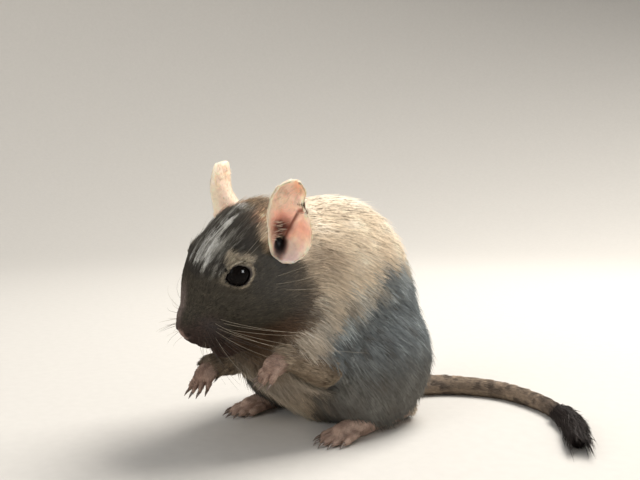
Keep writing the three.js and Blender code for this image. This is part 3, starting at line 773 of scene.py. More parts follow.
COAT_TINT = (900.0, 0.86, 1.14)
skin_finish = painted_material(
    "skin", (2600.0, 0.8, 1.2), (1500.0, 0.0003, 0.7), Roughness=0.7, Specular_IOR_Level=0.25,
)
fur = painted_material("coat", COAT_TINT, Roughness=0.7, Specular_IOR_Level=0.14)
dark_fur = painted_material("hood_coat", COAT_TINT, Roughness=0.62, Specular_IOR_Level=0.14)
ear_finish = painted_material(
    "ear_skin", (700.0, 0.88, 1.1), (1900.0, 0.00012, 0.5), Roughness=0.52, Specular_IOR_Level=0.35,
    Subsurface_Weight=0.5, Subsurface_Scale=0.002, Subsurface_Radius=(1.0, 0.4, 0.25),
)
claw_finish = painted_material(
    "claw", (1800.0, 0.85, 1.15), (2500.0, 0.00005, 0.4, (1, 0.2, 1)), Roughness=0.35, Specular_IOR_Level=0.5,
)
whisker_finish = painted_material("whisker", (600.0, 0.9, 1.1), Roughness=0.4, Specular_IOR_Level=0.5)
eye_finish = mottled_material(
    "eye", 420.0, 3.0, (5, 4, 4), (15, 10, 8), Roughness=0.06, Specular_IOR_Level=0.07,
)
floor_finish = mottled_material(
    "floor", 260.0, 4.0, (206, 203, 198), (214, 211, 206), Roughness=0.85, Specular_IOR_Level=0.2,
)

# Skin

vertices, quads = surface_net(skin_field, *SKIN_BOX, GRID * (1))
normals, areas = vertex_normals(vertices, quads)

on_body = body_field(vertices, to_head(vertices)) + 0.3  # so that a limb's kind wins where the two meet
kind_of = np.argmin([on_body, *kind_fields(vertices).values()], axis=0)
LIMB_TONES = {
    "forearm": ((142, 127, 108), (116, 101, 84)), "hand": ((166, 140, 125), (132, 107, 94)),
    "shank": ((198, 184, 166), (176, 160, 142)), "foot": ((182, 156, 140), (156, 130, 116)),
    "tail": ((150, 132, 114), (96, 84, 74)),
}
LIMB_HAIRS = {  # length, width, lift
    "forearm": (3.6, 0.32, 16), "hand": (0.95, 0.16, 12), "shank": (3.2, 0.32, 15), "foot": (1.0, 0.17, 11),
    "tail": (2.4, 0.25, 14),
}


def kind_mask(prefix, kinds):
    return np.isin(kinds, [i for i, kind in enumerate(KINDS) if kind.startswith(prefix)])


def nearest_on_tail(p):
    return np.linalg.norm(p[:, None] - TAIL[None], axis=2).argmin(1)


def limb_colours(p, kinds, colours):
    """Colours of the limbs and tail over those of the body."""
    fine = noise(p, 1.6, 5)
    for prefix, (tone, other) in LIMB_TONES.items():
        here = kind_mask(prefix, kinds)
        colours[here] = lerp(vec(*tone), vec(*other), smooth(fine[here], -0.4, 0.6)[:, None])
    here = kind_mask("tail", kinds)
    colours[here] = mix(colours[here], (44, 38, 36), smooth(nearest_on_tail(p[here]) / TAIL_STEPS, 0.6, 0.85))
    return colours


def skin_colours(p, kinds):
    q = to_head(p)
    m = on_left(q)
    body = kinds == 0
    around, out = eye_opening(m)
    sideways, above = mouth_place(q)
    front = smooth(-q[:, 1], 7, 11) * body * (1 - smooth(np.abs(sideways), 62, 82))
    pad = spot(q, (0, -21.5, -6.2), (3.4, 2.2, 2.6)) * body
    hole = spot(m, NOSTRIL_AT, (0.9, 1.3, 0.9)) * body
    return layered(
        len(p), limb_colours(p, kinds, markings_and_shade(p) * 0.8),
        ((40, 33, 30), gauss(np.maximum(around - 0.3, 0), 0.25) * (out > 1.0) * body),
        ((142, 104, 92), gauss(above, 1.1) * front * 0.8),
        # painted shade in the groove along the mouth's line
        ((48, 30, 26), gauss(above, 0.35) * front),
        ((118, 94, 85), np.clip(pad * 1.5, 0, 1)),
        # painted shade in the nostrils
        ((26, 16, 14), np.clip(hole * 1.4, 0, 1)),
    )


def foot_sole(n, kinds):
    return kind_mask("foot", kinds) & (n[:, 2] < -0.45) | kind_mask("hand", kinds) & (n[:, 2] < -0.35)


skin = mesh_object("skin", vertices, quads, skin_finish)
paint(skin, skin_colours(vertices, kind_of))
flesh = ["head", "neck", "torso", "tail_base", "tail_middle", "tail_end"]
for part in ("upper_arm", "forearm", "hand", "thigh", "shank", "foot"):
    flesh += [part + "_left", part + "_right"]
finish_piece(skin, "coat", *flesh)

# Coat

rng = np.random.default_rng(SEED)


def lie_of_coat(p, n, kinds):
    """The way hairs point at each root."""
    q = to_head(p)
    on_head = way_from_head(unit(q - vec(0, -24, -4)))
    on_trunk = unit(unit(p - from_head(vec(0, -4, 4))) + vec(0, 0, -0.45))
    way = lerp(on_trunk, on_head, head_share(q)[:, None])
    for kind, points, _, _ in chains:
        here = kinds == KINDS.index(kind)
        if here.any() and kind != "tail":
            way[here] = unit(points[-1] - points[0])
    here = kind_mask("tail", kinds)
    near = nearest_on_tail(p[here])
    way[here] = unit(TAIL[np.minimum(near + 1, TAIL_STEPS)] - TAIL[np.maximum(near - 1, 0)])
    return unit(way - dot(way, n)[:, None] * n)


def bare(q, n, kinds):
    """Whether no hair grows: in the eye's opening and the ears' bowls, on the nose, lips and soles."""
    m = on_left(q)
    around, out = eye_opening(m)
    none = (around < 0.55) & (out > 0)
    none |= spot(q, (0, -21.8, -6.2), (2.6, 1.8, 2.0)) > 0.5
    none |= spot(m, NOSTRIL_AT, (1.0, 1.4, 1.0)) > 0.4
    sideways, above = mouth_place(q)
    none |= (np.abs(above) < 0.5) & (q[:, 1] < -8) & (np.abs(sideways) < 74)
    none &= kinds == 0
    none |= ear_room(q) < EARHOLE_MARGIN
    return none | foot_sole(n, kinds)


def coat_shape(q, kinds):
    """Length, width and lift in degrees of the tufts at each root."""
    share = head_share(q)
    m = on_left(q)
    back = q[:, 1]
    face = lerp(1.3, 2.9, smooth(back, -17, -3)) + 1.6 * smooth(back, 6, 18)
    length = lerp(7.2, face, share)
    width = lerp(0.46, lerp(0.2, 0.28, smooth(back, -14, 4)), share)
    lift = lerp(19.0, lerp(15.0, 21.0, smooth(back, -5, 16)), share)
    forehead = smooth(q[:, 2], 3, 7) * smooth(back, -10, -3) * share
    width = width - 0.03 * forehead
    for place, longer, higher in (
        (smooth(q[:, 2], 0, 7) * smooth(back, 9, 14) * (1 - smooth(back, 24, 34)), -1.2, -10),  # nape
        (spot(m, (20, 10, -12), (6, 7, 7)), 1.2, 7),  # cheeks
        (forehead, 2.4, 5 * (1 - smooth(back, 9, 14))),
        (spot(m, (10.2, 15.5, 7.0), (3.0, 3.0, 3.0)), 0.4, 6),  # before the ears
        (spot(q, (0, -10, -18), (6, 7, 4)), 1.8, 14),  # chin
    ):
        length = length + longer * place
        lift = lift + higher * place
    around, out = eye_opening(m)
    near_eye = (1 - smooth(around, 0.6, 4.5)) * (out > 0)
    length = length * (1 - 0.62 * near_eye)
    lift = lift - 7 * near_eye
    for prefix, sizes in LIMB_HAIRS.items():
        here = kind_mask(prefix, kinds)
        length[here], width[here], lift[here] = sizes
    return length, width, lift


def grow(roots, n, tones, length, width, lift, way, clump, clump_pull, root_shade, tip_shade, rounded=False):
    """Spindles of six triangles: a sunk root, a ring of three and a tip, as vertices, faces, colours, normals.

    Tips of tufts in one clump are pulled together. Rounded tufts are shaded as hairs, the others as one coat.
    """
    count = len(roots)
    lift = np.radians(np.clip(lift + rng.normal(0, LIFT_SPREAD, count), 3, 80))
    side = np.cross(n, way)
    swing = np.radians(rng.normal(0, SWING_SPREAD, count))[:, None]
    way = unit(way * np.cos(swing) + side * np.sin(swing))
    side = np.cross(n, way)
    length = length * rng.uniform(0.72, 1.22, count)
    first = way * np.cos(lift)[:, None] + n * np.sin(lift)[:, None]
    late = lift * 0.25
    second = way * np.cos(late)[:, None] + n * np.sin(late)[:, None]
    root = roots - n * ROOT_DEPTH
    middle = roots + first * (length * BELOW_BEND)[:, None]
    tip = middle + second * (length * ABOVE_BEND)[:, None]
    wander = np.stack([noise(roots, clump * 1.3, s) for s in (11, 12, 13)], 1)
    cell = np.floor((roots + 0.35 * clump * wander) / clump).astype(np.int64) + 500
    _, group, sizes = np.unique(
        (cell[:, 0] * 2000 + cell[:, 1]) * 2000 + cell[:, 2], return_inverse=True, return_counts=True,
    )
    mean_tip = np.stack([np.bincount(group, tip[:, i]) for i in range(3)], 1) / sizes[:, None]
    tip = lerp(tip, mean_tip[group], clump_pull)
    drawn = (root + mean_tip[group]) / 2 + n * (length * 0.12)[:, None]
    middle = lerp(middle, drawn, np.multiply(clump_pull, 0.35))
    half = (width * rng.uniform(0.75, 1.25, count) / 2)[:, None]
    ring = [middle + side * half, middle - side * half, middle + n * half * 0.7]
    vertices = np.stack([root, *ring, tip], 1).reshape(-1, 3)
    vertices[:, 2] = np.maximum(vertices[:, 2], 0.05)  # above the floor
    base = np.arange(count)[:, None] * 5
    faces = np.array([[0, 1, 2], [0, 3, 1], [0, 2, 3], [4, 2, 1], [4, 1, 3], [4, 3, 2]])
    faces = (base[:, None] + faces[None]).reshape(-1, 3)
    own = rng.normal(0, TONE_SPREAD, count) + rng.normal(0, 0.7 * TONE_SPREAD, group.max() + 1)[group]
    tone = tones * np.clip(1 + own, 0.5, 1.5)[:, None]
    root_tone = tone * np.reshape(root_shade, (-1, 1))
    tip_tone = np.minimum(tone * np.reshape(tip_shade, (-1, 1)), 245)
    colours = np.stack([root_tone, tone, tone, tone, tip_tone], 1).reshape(-1, 3)
    bend = unit(n * 0.8 + way * 0.2)
    around = [n, unit(bend + side * 0.35), unit(bend - side * 0.35), bend, bend]
    if rounded:
        around = [-way, unit(side - n * 0.4), unit(-side - n * 0.4), n, way]
    around = np.stack(around, 1).reshape(-1, 3)
    return vertices, faces, colours, around


def coat_piece(name, vertices, faces, colours, around, spots, material, slot):
    piece = mesh_object(name, vertices, faces, material)
    paint(piece, colours)
    offsets = np.array([(-0.5, -0.5), (0.3, -0.3), (-0.3, 0.3), (0, 0), (0.5, 0.5)]) * 0.003
    at = (spots[:, None] + offsets[None]).reshape(-1, 2)
    layer = piece.data.uv_layers.new(name="OFBake")
    layer.data.foreach_set("uv", at[faces.ravel()].astype(np.float32).ravel())
    piece.data.normals_split_custom_set_from_vertices(around.astype(np.float32))
    finish_piece(piece, slot)


def fit_square(uv):
    """Moves and scales places on an unwrap into the unit square."""
    low, high = uv.min(0), uv.max(0)
    return 0.01 + 0.98 * (uv - low) / np.maximum(high - low, 1e-6)


def unwrap_round(p, centre, pole):
    """Equal-area places on a disc, seen outwards from a centre inside the form."""
    d = unit(p - centre)
    a = unit(np.cross(pole, vec(0.3, 1, 0.2)))
    b = np.cross(pole, a)
    out = np.sqrt(np.clip(1 - d @ pole, 0, 2))
    x, y = d @ a, d @ b
    reach = np.maximum(np.hypot(x, y), 1e-6)
    return fit_square(np.stack([x / reach * out, y / reach * out], 1))


quad_centre = vertices[quads].mean(1)
quad_q = to_head(quad_centre)
quad_kind = kind_of[quads[:, 0]]
open_skin = ~bare(quad_q, unit(normals[quads].sum(1)), quad_kind)
on_head = head_share(quad_q) > 0.5
body_quad = quad_kind == 0
in_front = quad_centre[:, 1] < 5
HEAD_MIDDLE = from_head(vec(0, 2, -4))
REGIONS = [
    # name, the quads it grows on, their place across, the unwrap's centre and pole, clump size and pull, slot
    ("head", on_head, quad_q[:, 0], HEAD_MIDDLE, way_from_head, (1, 0, 0), 1.1, 0.3, "hood"),
    ("front", ~on_head & in_front, quad_centre[:, 0], vec(0, -5, 36), unit, (1, -0.4, 0), 1.8, 0.28, "coat"),
    ("rear", ~on_head & ~in_front, quad_centre[:, 0], vec(0, 8, 30), unit, (1, 0.6, 0), 1.8, 0.28, "coat"),
]


def roots_on(mask, count):
    weight = areas * mask * open_skin
    picked = rng.choice(len(quads), count, p=weight / weight.sum())
    u, w = rng.random((2, count, 1))
    corners = quads[picked]

    def between(values):
        a, b, c, d = (values[corners[:, i]] for i in range(4))
        return (a * (1 - u) + b * u) * (1 - w) + (d * (1 - u) + c * u) * w

    return between(vertices), unit(between(normals)), quad_kind[picked]


share_of_tufts = 1.0
for (region, mask, across, centre, turned, pole, clump, pull, slot), (side, sign) in (
    (region, side) for region in REGIONS for side in SIDES
):
    mask = body_quad & mask & ((across >= 0) == (sign > 0))
    p, n, kinds = roots_on(mask, int(TUFTS[side] * share_of_tufts))
    q = to_head(p)
    length, width, lift = coat_shape(q, kinds)
    way = lie_of_coat(p, n, kinds)
    middle = p + way * (0.55 * length)[:, None]
    guard = (rng.random(len(p)) < GUARD_SHARE) & (head_share(q) * (q[:, 1] < -4) < 0.5)  # none on the muzzle
    length = np.where(guard, length * GUARD_LENGTH, length)
    width = np.where(guard, width * GUARD_WIDTH, width)
    lift = np.where(guard, lift + GUARD_LIFT, lift)
    rise = n * (np.sin(np.radians(lift)) * length)[:, None]
    along = [p + way * (t * length)[:, None] + rise * t for t in (0.3, 0.6, 0.9)]
    into_ear = np.min([ear_room(to_head(at)) for at in along], axis=0) < EARHOLE_MARGIN
    p, n, way, length, width, lift, middle = (v[~into_ear] for v in (p, n, way, length, width, lift, middle))
    q = to_head(middle)
    hood = 1 - smooth(behind_hood(q), -2, 2)
    crown = smooth(q[:, 1], 12.8, 15.2) * smooth(q[:, 2], 3, 7) * head_share(q)
    ticked = rng.random(len(p)) < 0.2 * hood + 0.5 * crown  # hairs with a pale tip
    tip_shade = np.where(ticked, 1.55 + 0.9 * crown, 1.05)
    root_shade = 0.66 * hood + 0.9 * (1 - hood)
    pull = pull + 0.3 * smooth(silver_share(middle, q), 0.1, 0.5)[:, None]
    grown = grow(p, n, markings_and_shade(middle), length, width, lift, way, clump, pull, root_shade, tip_shade)
    places = unwrap_round(p, centre, turned(mirror(vec(*pole), sign)))
    coat_piece("coat_" + region + "_" + side, *grown, places, dark_fur if slot == "hood" else fur, slot)

# Short coat of the limbs and tail: each kind has a strip of the unwrap, along it and round it.
p, n, kinds = roots_on(~body_quad, int(LIMB_TUFTS * share_of_tufts))
length, width, lift = coat_shape(to_head(p), kinds)
tones = limb_colours(p, kinds, markings_and_shade(p))
way = lie_of_coat(p, n, kinds)
places = np.zeros((len(p), 2))
strips = len(KINDS) - 1
for i in range(strips):
    here = kinds == i + 1
    if here.any():
        around = np.arctan2(n[here][:, 0], n[here][:, 2])
        strip = fit_square(np.stack([p[here] @ way[here].mean(0), around], 1))
        places[here] = strip * vec(1, 0.9 / strips) + vec(0, i / strips)
grown = grow(p, n, tones, length, width, lift, way, 0.8, 0.2, 0.75, 1.12)
coat_piece("coat_limbs", *grown, places, fur, "foot_skin")


def on_tail(t):
    """Points along the tail's middle, from 0 at its root to 1 at its end."""
    return np.stack([np.interp(t, np.linspace(0, 1, len(TAIL)), TAIL[:, i]) for i in range(3)], 1)


# Brush at the tail's end
count = int(BRUSH_TUFTS * share_of_tufts)
t = 1 - np.sqrt(rng.random(count)) * BRUSH_SHARE
ahead = unit(on_tail(np.minimum(t + 0.02, 1.02)) - on_tail(t - 0.02))
left = unit(np.cross(vec(0, 0, 1), ahead))
angle = rng.uniform(-0.25, np.pi + 0.25, count)
n = left * np.cos(angle)[:, None] + vec(0, 0, 1) * np.sin(angle)[:, None]
p = on_tail(t) + n * (tail_radius(t) - 0.7)[:, None]
to_end = (t - (1 - BRUSH_SHARE)) / BRUSH_SHARE
length, lift = lerp(8.5, 15.5, to_end), lerp(20.0, 9.0, to_end)
grown = grow(p, n, vec(40, 34, 32), length, 0.3, lift, ahead, 1.6, 0.4, 0.7, 1.3)
coat_piece("tail_brush", *grown, fit_square(np.stack([t, angle], 1)), dark_fur, "brush")


def grid_quads(number):
    """Faces between the rows and columns of a grid of vertex numbers."""
    corners = [number[:-1, :-1], number[:-1, 1:], number[1:, 1:], number[1:, :-1]]
    return np.stack(corners, -1).reshape(-1, 4)


def closed_rings(rings, first, last):
    """Rings of points with a point closing each end, and the triangles over them."""
    rows, sides = rings.shape[:2]
    number = np.arange(rows * sides).reshape(rows, sides)
    number = np.concatenate([number, number[:, :1]], 1)
    body = grid_quads(number)[:, [0, 1, 2, 0, 2, 3]].reshape(-1, 3)
    tip, end = np.full((2, sides), [[rows * sides], [rows * sides + 1]])
    start_cap = np.stack([tip, number[0, 1:], number[0, :-1]], 1)
    end_cap = np.stack([end, number[-1, :-1], number[-1, 1:]], 1)
    return np.concatenate([rings.reshape(-1, 3), [first], [last]]), np.concatenate([body, start_cap, end_cap])


# Eyes
a = np.linspace(0, np.pi, 49)[1:-1, None]
b = circle(64)
rings = np.stack([np.sin(a) * np.cos(b), np.sin(a) * np.sin(b), np.cos(a) * np.ones(len(b))], -1)
ball, faces = closed_rings(rings, (0, 0, 1), (0, 0, -1))
for name, sign in SIDES:
    centre = from_head(mirror(EYE_AT, sign))
    eye = mesh_object("eyeball_" + name, centre + ball * EYE_RADIUS, faces[:, ::-1], eye_finish)
    finish_piece(eye, "eye", "eye_" + name)

# Ears


def ear_surface(name):
    """The middle surface of an ear's skin in head axes for the left side, with its places in the ear."""
    up, facing, back = ear_axes(name)
    index = np.linspace(0, len(EAR_RIM) - 1, EAR_ROWS)
    ends = np.concatenate([[2 * EAR_RIM[0] - EAR_RIM[1]], EAR_RIM, [2 * EAR_RIM[-1] - EAR_RIM[-2]]])
    i = np.minimum(index.astype(int), len(EAR_RIM) - 2)
    s = (index - i)[:, None]
    p0, p1, p2, p3 = ends[i], ends[i + 1], ends[i + 2], ends[i + 3]
    square, cube = 2 * p0 - 5 * p1 + 4 * p2 - p3, 3 * p1 - p0 - 3 * p2 + p3
    rim = 0.5 * (2 * p1 + (p2 - p0) * s + square * s**2 + cube * s**3)
    bunched = np.sin(np.linspace(-np.pi / 2, np.pi / 2, EAR_COLUMNS))  # closer together towards the rim
    t = bunched * 0.35 + np.linspace(-1, 1, EAR_COLUMNS) * 0.65
    height = np.repeat(np.clip(rim[:, :1], 0, 1), EAR_COLUMNS, 1)
    side = np.repeat(t[None], EAR_ROWS, 0)
    across = lerp(rim[:, 1:2], rim[:, 2:3], (side + 1) / 2)
    deep = ear_depth(height, side)
    roll = 0.022 * smooth(np.abs(side), 0.8, 1.0) * smooth(height, 0.12, 0.3) * (1 - smooth(height, 0.93, 1))
    canal = (CANAL_AT - EAR_AT) / EAR_LENGTH
    ridge = across - (canal @ back + lerp(0.075, 0.2, (height - 0.2) / 0.5))
    fold = 0.04 * gauss(ridge, 0.035) * smooth(height, 0.16, 0.3) * (1 - smooth(height, 0.66, 0.76))
    ribs = smooth(height, 0.3, 0.5) * (1 - smooth(height, 0.8, 0.95))
    ribs = 0.012 * gauss(across + 0.1 + 0.12 * height, 0.03) * ribs
    well = np.hypot((height - canal @ up - 0.01) / 1.25, (across - canal @ back))
    pit = 0.11 * (1 - smooth(well, 0.04, 0.12))
    flap = 0.03 * gauss(well - 0.15, 0.03) * smooth(-(across - canal @ back), 0.02, 0.12)
    out = -deep + roll + fold + ribs + flap - pit
    place = height[..., None] * up + across[..., None] * back + out[..., None] * facing
    points = EAR_AT + EAR_LENGTH * place
    return points, height, side, across - canal @ back, well, ridge


def ear_colours(points, height, side, x, well, ridge):
    """Colours of the bowl's face and of the ear's back."""
    h, s, x = height.ravel(), side.ravel(), x.ravel()
    rim = smooth(np.abs(s), 0.82, 0.98)
    shadow = gauss(h - 0.37, 0.13) * gauss(x + 0.02, 0.115)
    blotch = 1.2 + 0.45 * noise(points.reshape(-1, 3), 1.3, 21)
    fold_shade = gauss(ridge.ravel() + 0.03, 0.016) * smooth(h, 0.2, 0.3) * (1 - smooth(h, 0.68, 0.74))
    face = layered(
        len(h), (255, 224, 203),
        ((255, 224, 212), 1 - smooth(h, 0.12, 0.32)),
        ((255, 240, 216), rim * 0.9 + 0.5 * smooth(h, 0.9, 1) * (1 - rim)),
        ((250, 220, 214), 1 - smooth(h, 0.04, 0.1)),
        ((226, 186, 150), smooth(h, 0.78, 0.92) * smooth(s, -0.2, 0.6) * 0.8),
        ((236, 174, 152), gauss(h - 0.5, 0.12) * gauss(x + 0.06, 0.12) * 0.8),
        ((238, 190, 166), gauss(h - 0.42, 0.14) * smooth(x, 0.14, 0.26) * 0.7),
        ((84, 32, 20), np.clip(shadow * blotch, 0, 1) * 0.97),
        # painted shade in the groove along the ear's fold
        ((112, 62, 48), 0.8 * fold_shade),
        # painted shade: the canal's pit near black
        ((20, 11, 10), 1 - smooth(well.ravel(), 0.055, 0.125)),
    )
    back = layered(
        len(h), (253, 224, 203),
        ((238, 202, 182), 1 - smooth(h, 0.15, 0.5)),
        ((255, 236, 214), smooth(np.abs(s), 0.8, 1.0)),
    )
    return face, back


def choose(value, *cases):
    """A vector at each place: that of the last case whose mask holds there, or the first value."""
    for mask, other in cases:
        value = np.where(mask[:, None], other, value)
    return value


number = np.arange(EAR_ROWS * EAR_COLUMNS).reshape(EAR_ROWS, EAR_COLUMNS)
half = number.size
edge = np.concatenate([number[0, :-1], number[:-1, -1], number[-1, :0:-1], number[:0:-1, 0]])
after = np.roll(edge, -1)
sheet = grid_quads(number)
rim_faces = np.stack([after, edge, edge + half, after + half], 1)
ear_faces = np.concatenate([sheet, sheet[:, ::-1] + half, rim_faces])
MIDDLE_FACE = EAR_ROWS // 2 * (EAR_COLUMNS - 1) + EAR_COLUMNS // 2
for name, sign in SIDES:
    points, height, side, across, well, ridge = ear_surface(name)
    normal = unit(np.cross(np.gradient(points, axis=0), np.gradient(points, axis=1)))
    up, facing, back = ear_axes(name)
    if (normal @ facing).mean() < 0:
        normal = -normal
    thick = EAR_THICKNESS * (1 - 0.4 * smooth(np.abs(side), 0.75, 1.0))[..., None]
    front, rear = points + normal * thick, points - normal * thick
    both = from_head(mirror(np.concatenate([front.reshape(-1, 3), rear.reshape(-1, 3)]), sign))
    a, b, c = both[ear_faces[MIDDLE_FACE, :3]]
    outward = np.cross(b - a, c - a) @ way_from_head(mirror(facing, sign)) > 0
    faces = ear_faces if outward else ear_faces[:, ::-1]
    ear = mesh_object("ear_skin_" + name, both, faces, ear_finish)
    paint(ear, np.concatenate(ear_colours(points, height, side, across, well, ridge)))
    finish_piece(ear, "ear_skin", "ear_" + name)

    # Fine hairs: pale in the bowl, across the mid fold, round the rim and over the back, dark at the notch.
    total = int(EAR_TUFTS * max(share_of_tufts, 0.5))
    i = rng.integers(1, EAR_ROWS - 1, total)
    j = rng.integers(0, EAR_COLUMNS, total)
    at_rim = rng.random(total) < 0.3
    on_back = (rng.random(total) < 0.4) & ~at_rim
    j = np.where(at_rim, np.where(rng.random(total) < 0.5, 0, EAR_COLUMNS - 1), j)
    h, s = height[i, j], side[i, j]
    inner = (np.abs(s) < 0.9) & (h < 0.9)
    across_fold = (s > -0.95) & (s < -0.55) & (h > 0.24) & (h < 0.48) & ~on_back & ~at_rim
    across_fold &= rng.random(total) < 0.5
    notch = (gauss(h - 0.68, 0.06) * smooth(s, 0.7, 0.95) > 0.4) & ~on_back
    in_bowl = ~on_back & (h > 0.58) & inner & (rng.random(total) < 0.4)
    keep = on_back & inner | at_rim | across_fold | notch | in_bowl
    i, j, h, s, on_back, at_rim, across_fold, notch = (
        v[keep] for v in (i, j, h, s, on_back, at_rim, across_fold, notch)
    )
    face_normal = choose(normal[i, j], (on_back, -normal[i, j]))
    start = choose(front[i, j], (on_back, rear[i, j])) + face_normal * 0.1
    start = choose(start, (at_rim, points[i, j]))
    out_way = unit(lerp(np.sign(s)[:, None] * back, up, smooth(h, 0.88, 0.99)[:, None]))
    along_rim = choose(up, (s < 0, points[np.minimum(i + 1, EAR_ROWS - 1), j] - points[i - 1, j]))
    leaning = unit(out_way + 0.25 * rng.normal(0, 1, (len(i), 1)) * facing)
    face_normal = choose(face_normal, (at_rim, leaning))
    way = choose(
        up * 0.8 + back * 0.5, (at_rim, along_rim), (on_back, up + 0.15 * out_way),
        (across_fold, back + up * 0.15), (notch & ~at_rim, up * 0.8 + back * 0.1),
    )
    way = unit(way - dot(way, face_normal)[:, None] * face_normal)
    tones = choose(
        vec(246, 230, 210), (on_back, vec(244, 222, 198)), (at_rim, vec(244, 226, 202)),
        (notch, vec(104, 72, 52)),
    )
    length = np.select([notch, on_back, at_rim, across_fold], [1.7, 1.2, 0.9, 3.8], 1.7)
    width = np.select([on_back, across_fold | notch], [0.13, 0.15], 0.09)
    lift = np.select([across_fold, at_rim], [26.0, 20.0], 14.0)
    p = from_head(mirror(start, sign))
    n, way = way_from_head(mirror(face_normal, sign)), way_from_head(mirror(way, sign))
    pull = np.where(across_fold, 0.75, 0.15)[:, None]
    grown = grow(p, n, tones, length, width, lift, way, 0.9, pull, 0.95, 1.03, rounded=True)
    places = np.stack([s * 0.25 + 0.25 + 0.5 * on_back, h * 0.96 + 0.02], 1)
    coat_piece("ear_hair_" + name, *grown, places, fur, "ear_skin")

# Claws and whiskers: tapered tubes


def tube(line, radii, sides):
    """A closed tapered tube round a line."""
    along = unit(np.gradient(line, axis=0))
    across = unit(np.cross(along, vec(0.31, 0.2, 0.93)))[:, None]
    over = np.cross(along, across[:, 0])[:, None]
    angle = circle(sides)[:, None]
    rings = line[:, None] + radii[:, None, None] * (across * np.cos(angle) + over * np.sin(angle))
    return closed_rings(rings, line[0], line[-1])


def bent_line(root, aim, reach, bend, samples):
    """A line from a root, bending away by a share of its length, and how far along it each sample is."""
    t = np.linspace(0, 1, samples)[:, None]
    return root + aim * (reach * t) + vec(*bend) * (reach * t**2), t[:, 0]


def many(name, tubes, tones, material, slot, *nodes):
    """One piece of many tubes, each with a colour or a row of colours."""
    starts = np.cumsum([0] + [len(points) for points, _ in tubes])
    points = np.concatenate([points for points, _ in tubes])
    faces = np.concatenate([faces + start for (_, faces), start in zip(tubes, starts)])
    piece = mesh_object(name, points, faces, material)
    paint(piece, np.concatenate([np.zeros((len(at), 3)) + tone for (at, _), tone in zip(tubes, tones)]))
    finish_piece(piece, slot, *nodes)


claw_tubes = [tube(line, radii, 8) for line, radii in claws]
CLAW_TONE, CLAW_DARKENING = vec(120, 104, 92), vec(-30, -30, -28)
claw_tones = [np.linspace(0, 1, len(at))[:, None] * CLAW_DARKENING + CLAW_TONE for at, _ in claw_tubes]
many("claws", claw_tubes, claw_tones, claw_finish, "foot_skin")

WHISKER_ROWS, WHISKER_COLUMNS = 4, 6
FACE_WHISKERS = [  # root, way and length of those of the brow and the cheek
    ((13.5, 2.5, 6.5), (0.6, 0.65, 0.45), 9), ((12.5, 4.5, 7.0), (0.45, 0.8, 0.4), 8),
    ((17.5, 6.0, -3.0), (0.6, 0.75, -0.15), 16), ((18.0, 4.5, -4.5), (0.65, 0.7, -0.3), 14),
    ((18.5, 5.0, -7.0), (0.7, 0.55, -0.35), 15),
]
FACE_MIDDLE = vec(6, 2, -4)
whisker_tubes, whisker_tones = [], []
for name, sign in SIDES:
    for row, column in np.ndindex(WHISKER_ROWS, WHISKER_COLUMNS):
        back = column / (WHISKER_COLUMNS - 1)
        sideways = np.radians(lerp(38, 80, back) + rng.uniform(-3, 3))
        lift = np.radians(12 - row * 10 + rng.uniform(-2, 2))
        out = vec(np.sin(sideways) * np.cos(lift), -np.cos(sideways) * np.cos(lift), np.sin(lift))
        root = ray_to(head_field, vec(0, -11, -8), out)
        reach = lerp(15, 38, back) * rng.uniform(0.8, 1.1)
        aim = unit(vec(1.0, lerp(-0.75, 0.35, back), -0.1 - 0.07 * row) + rng.normal(0, 0.05, 3))
        line, t = bent_line(root, aim, reach, (-0.10, 0.22, -0.14), 10)
        whisker_tubes.append(tube(from_head(mirror(line, sign)), lerp(0.06, 0.014, t), 4))
        whisker_tones.append(vec(62, 54, 46) if rng.random() < 0.5 else vec(158, 146, 128))
    for root, aim, reach in FACE_WHISKERS:
        root = ray_to(head_field, FACE_MIDDLE, unit(vec(*root) - FACE_MIDDLE))
        line, t = bent_line(root, unit(vec(*aim)), reach, (-0.2, 0.25, -0.15), 8)
        whisker_tubes.append(tube(from_head(mirror(line, sign)), lerp(0.045, 0.012, t), 4))
        whisker_tones.append(vec(170, 160, 142))
pads = "whisker_pad_left", "whisker_pad_right"
many("whiskers", whisker_tubes, whisker_tones, whisker_finish, "hood", *pads)

# Floor, camera and light: a round floor that curves up into a wall, in millimetres from the frame's origin

FLOOR_RADIUS, BEND_RADIUS, WALL_HEIGHT, FLOOR_SIDES = 600, 600, 1500, 96
bends = np.radians(np.arange(7.5, 91, 7.5))
profile = [(r, 0) for r in (150, 300, 450, FLOOR_RADIUS)]
profile += [(FLOOR_RADIUS + BEND_RADIUS * np.sin(a), BEND_RADIUS * (1 - np.cos(a))) for a in bends]
profile += [(FLOOR_RADIUS + BEND_RADIUS, WALL_HEIGHT)]
points = [(0, 0, 0)] + [(r * np.cos(a), r * np.sin(a), z) for r, z in profile for a in circle(FLOOR_SIDES)]
number = 1 + np.arange(len(points) - 1).reshape(-1, FLOOR_SIDES)
number = np.concatenate([number, number[:, :1]], 1)
inmost = number[0].tolist()
faces = grid_quads(number)[:, ::-1].tolist() + [(0, a, b) for a, b in zip(inmost, inmost[1:])]
mesh = bpy.data.meshes.new("floor")
mesh.from_pydata((np.array(points) / 1000).tolist(), [], faces)
mesh.polygons.foreach_set("use_smooth", np.ones(len(mesh.polygons), bool))
mesh.update()
floor = bpy.data.objects.new("floor", mesh)
bpy.context.scene.collection.objects.link(floor)
floor.data.materials.append(floor_finish)


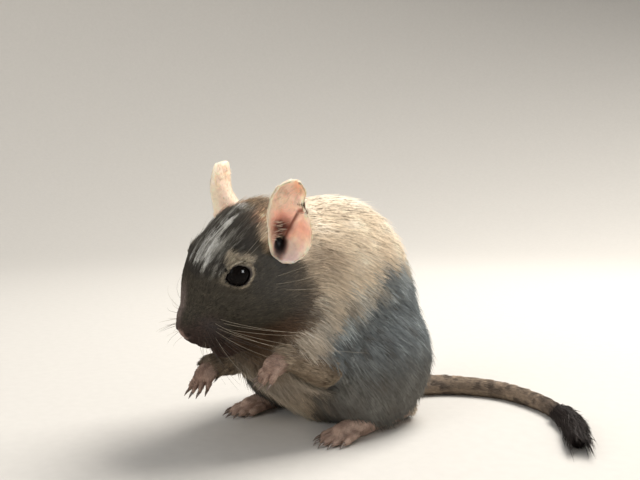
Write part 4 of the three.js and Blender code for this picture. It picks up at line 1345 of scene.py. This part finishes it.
def placed(name, data, side, up, away, at):
    """An object that looks along -away, at a point in frame axes."""
    piece = bpy.data.objects.new(name, data)
    pose = np.eye(4)
    pose[:3] = np.stack([side, up, away, at], 1)
    piece.matrix_world = Matrix(pose.tolist())
    bpy.context.scene.collection.objects.link(piece)
    return piece


CAMERA_TURN, CAMERA_TILT = np.radians(45), np.radians(4)
CAMERA_RIGHT, CAMERA_UP, CAMERA_BACK = 28.7, 8.5, 238  # from the head, along the picture's own axes
level = np.cos(CAMERA_TILT)
back = vec(np.sin(CAMERA_TURN) * level, -np.cos(CAMERA_TURN) * level, np.sin(CAMERA_TILT))
right = vec(np.cos(CAMERA_TURN), np.sin(CAMERA_TURN), 0)
up = np.cross(back, right)
lens = bpy.data.cameras.new("camera")
lens.lens, lens.sensor_width = 45, 36
lens.clip_start, lens.clip_end = 0.01, 20
camera_at = to_frame(HEAD_AT + right * CAMERA_RIGHT + up * CAMERA_UP + back * CAMERA_BACK)
bpy.context.scene.camera = placed("camera", lens, right, up, back, camera_at)


def soft_light(name, across, high, toward, size, power, tone):
    """A square soft light aimed at the body, so far to the camera's right, up and towards the camera."""
    lamp = bpy.data.lights.new(name, "AREA")
    lamp.size, lamp.energy, lamp.color = size, power, tone
    at = right * across + vec(0, 0, high) + unit(vec(back[0], back[1], 0)) * toward
    away = unit(at - vec(0, 0, 0.04))
    side = unit(np.cross(vec(0, 0, 1), away))
    return placed(name, lamp, side, np.cross(away, side), away, at)


soft_light("key", 0.35, 0.75, -0.30, 0.5, 11.0, (1.0, 0.96, 0.9))
soft_light("fill", -0.6, 0.45, 0.55, 0.5, 2.6, (0.97, 0.98, 1.0))
catch = soft_light("catch", 0.66, 0.36, 0.55, 0.25, 11.0, (0.97, 0.99, 1.0))
catch.visible_diffuse = False  # only for the light in the eyes
world = bpy.data.worlds.new("world")
world.use_nodes = True
sky = world.node_tree.nodes["Background"]
sky.inputs["Color"].default_value = (0.93, 0.96, 1.0, 1)
sky.inputs["Strength"].default_value = 0.38
bpy.context.scene.world = world
bpy.context.scene.view_settings.view_transform = "Standard"
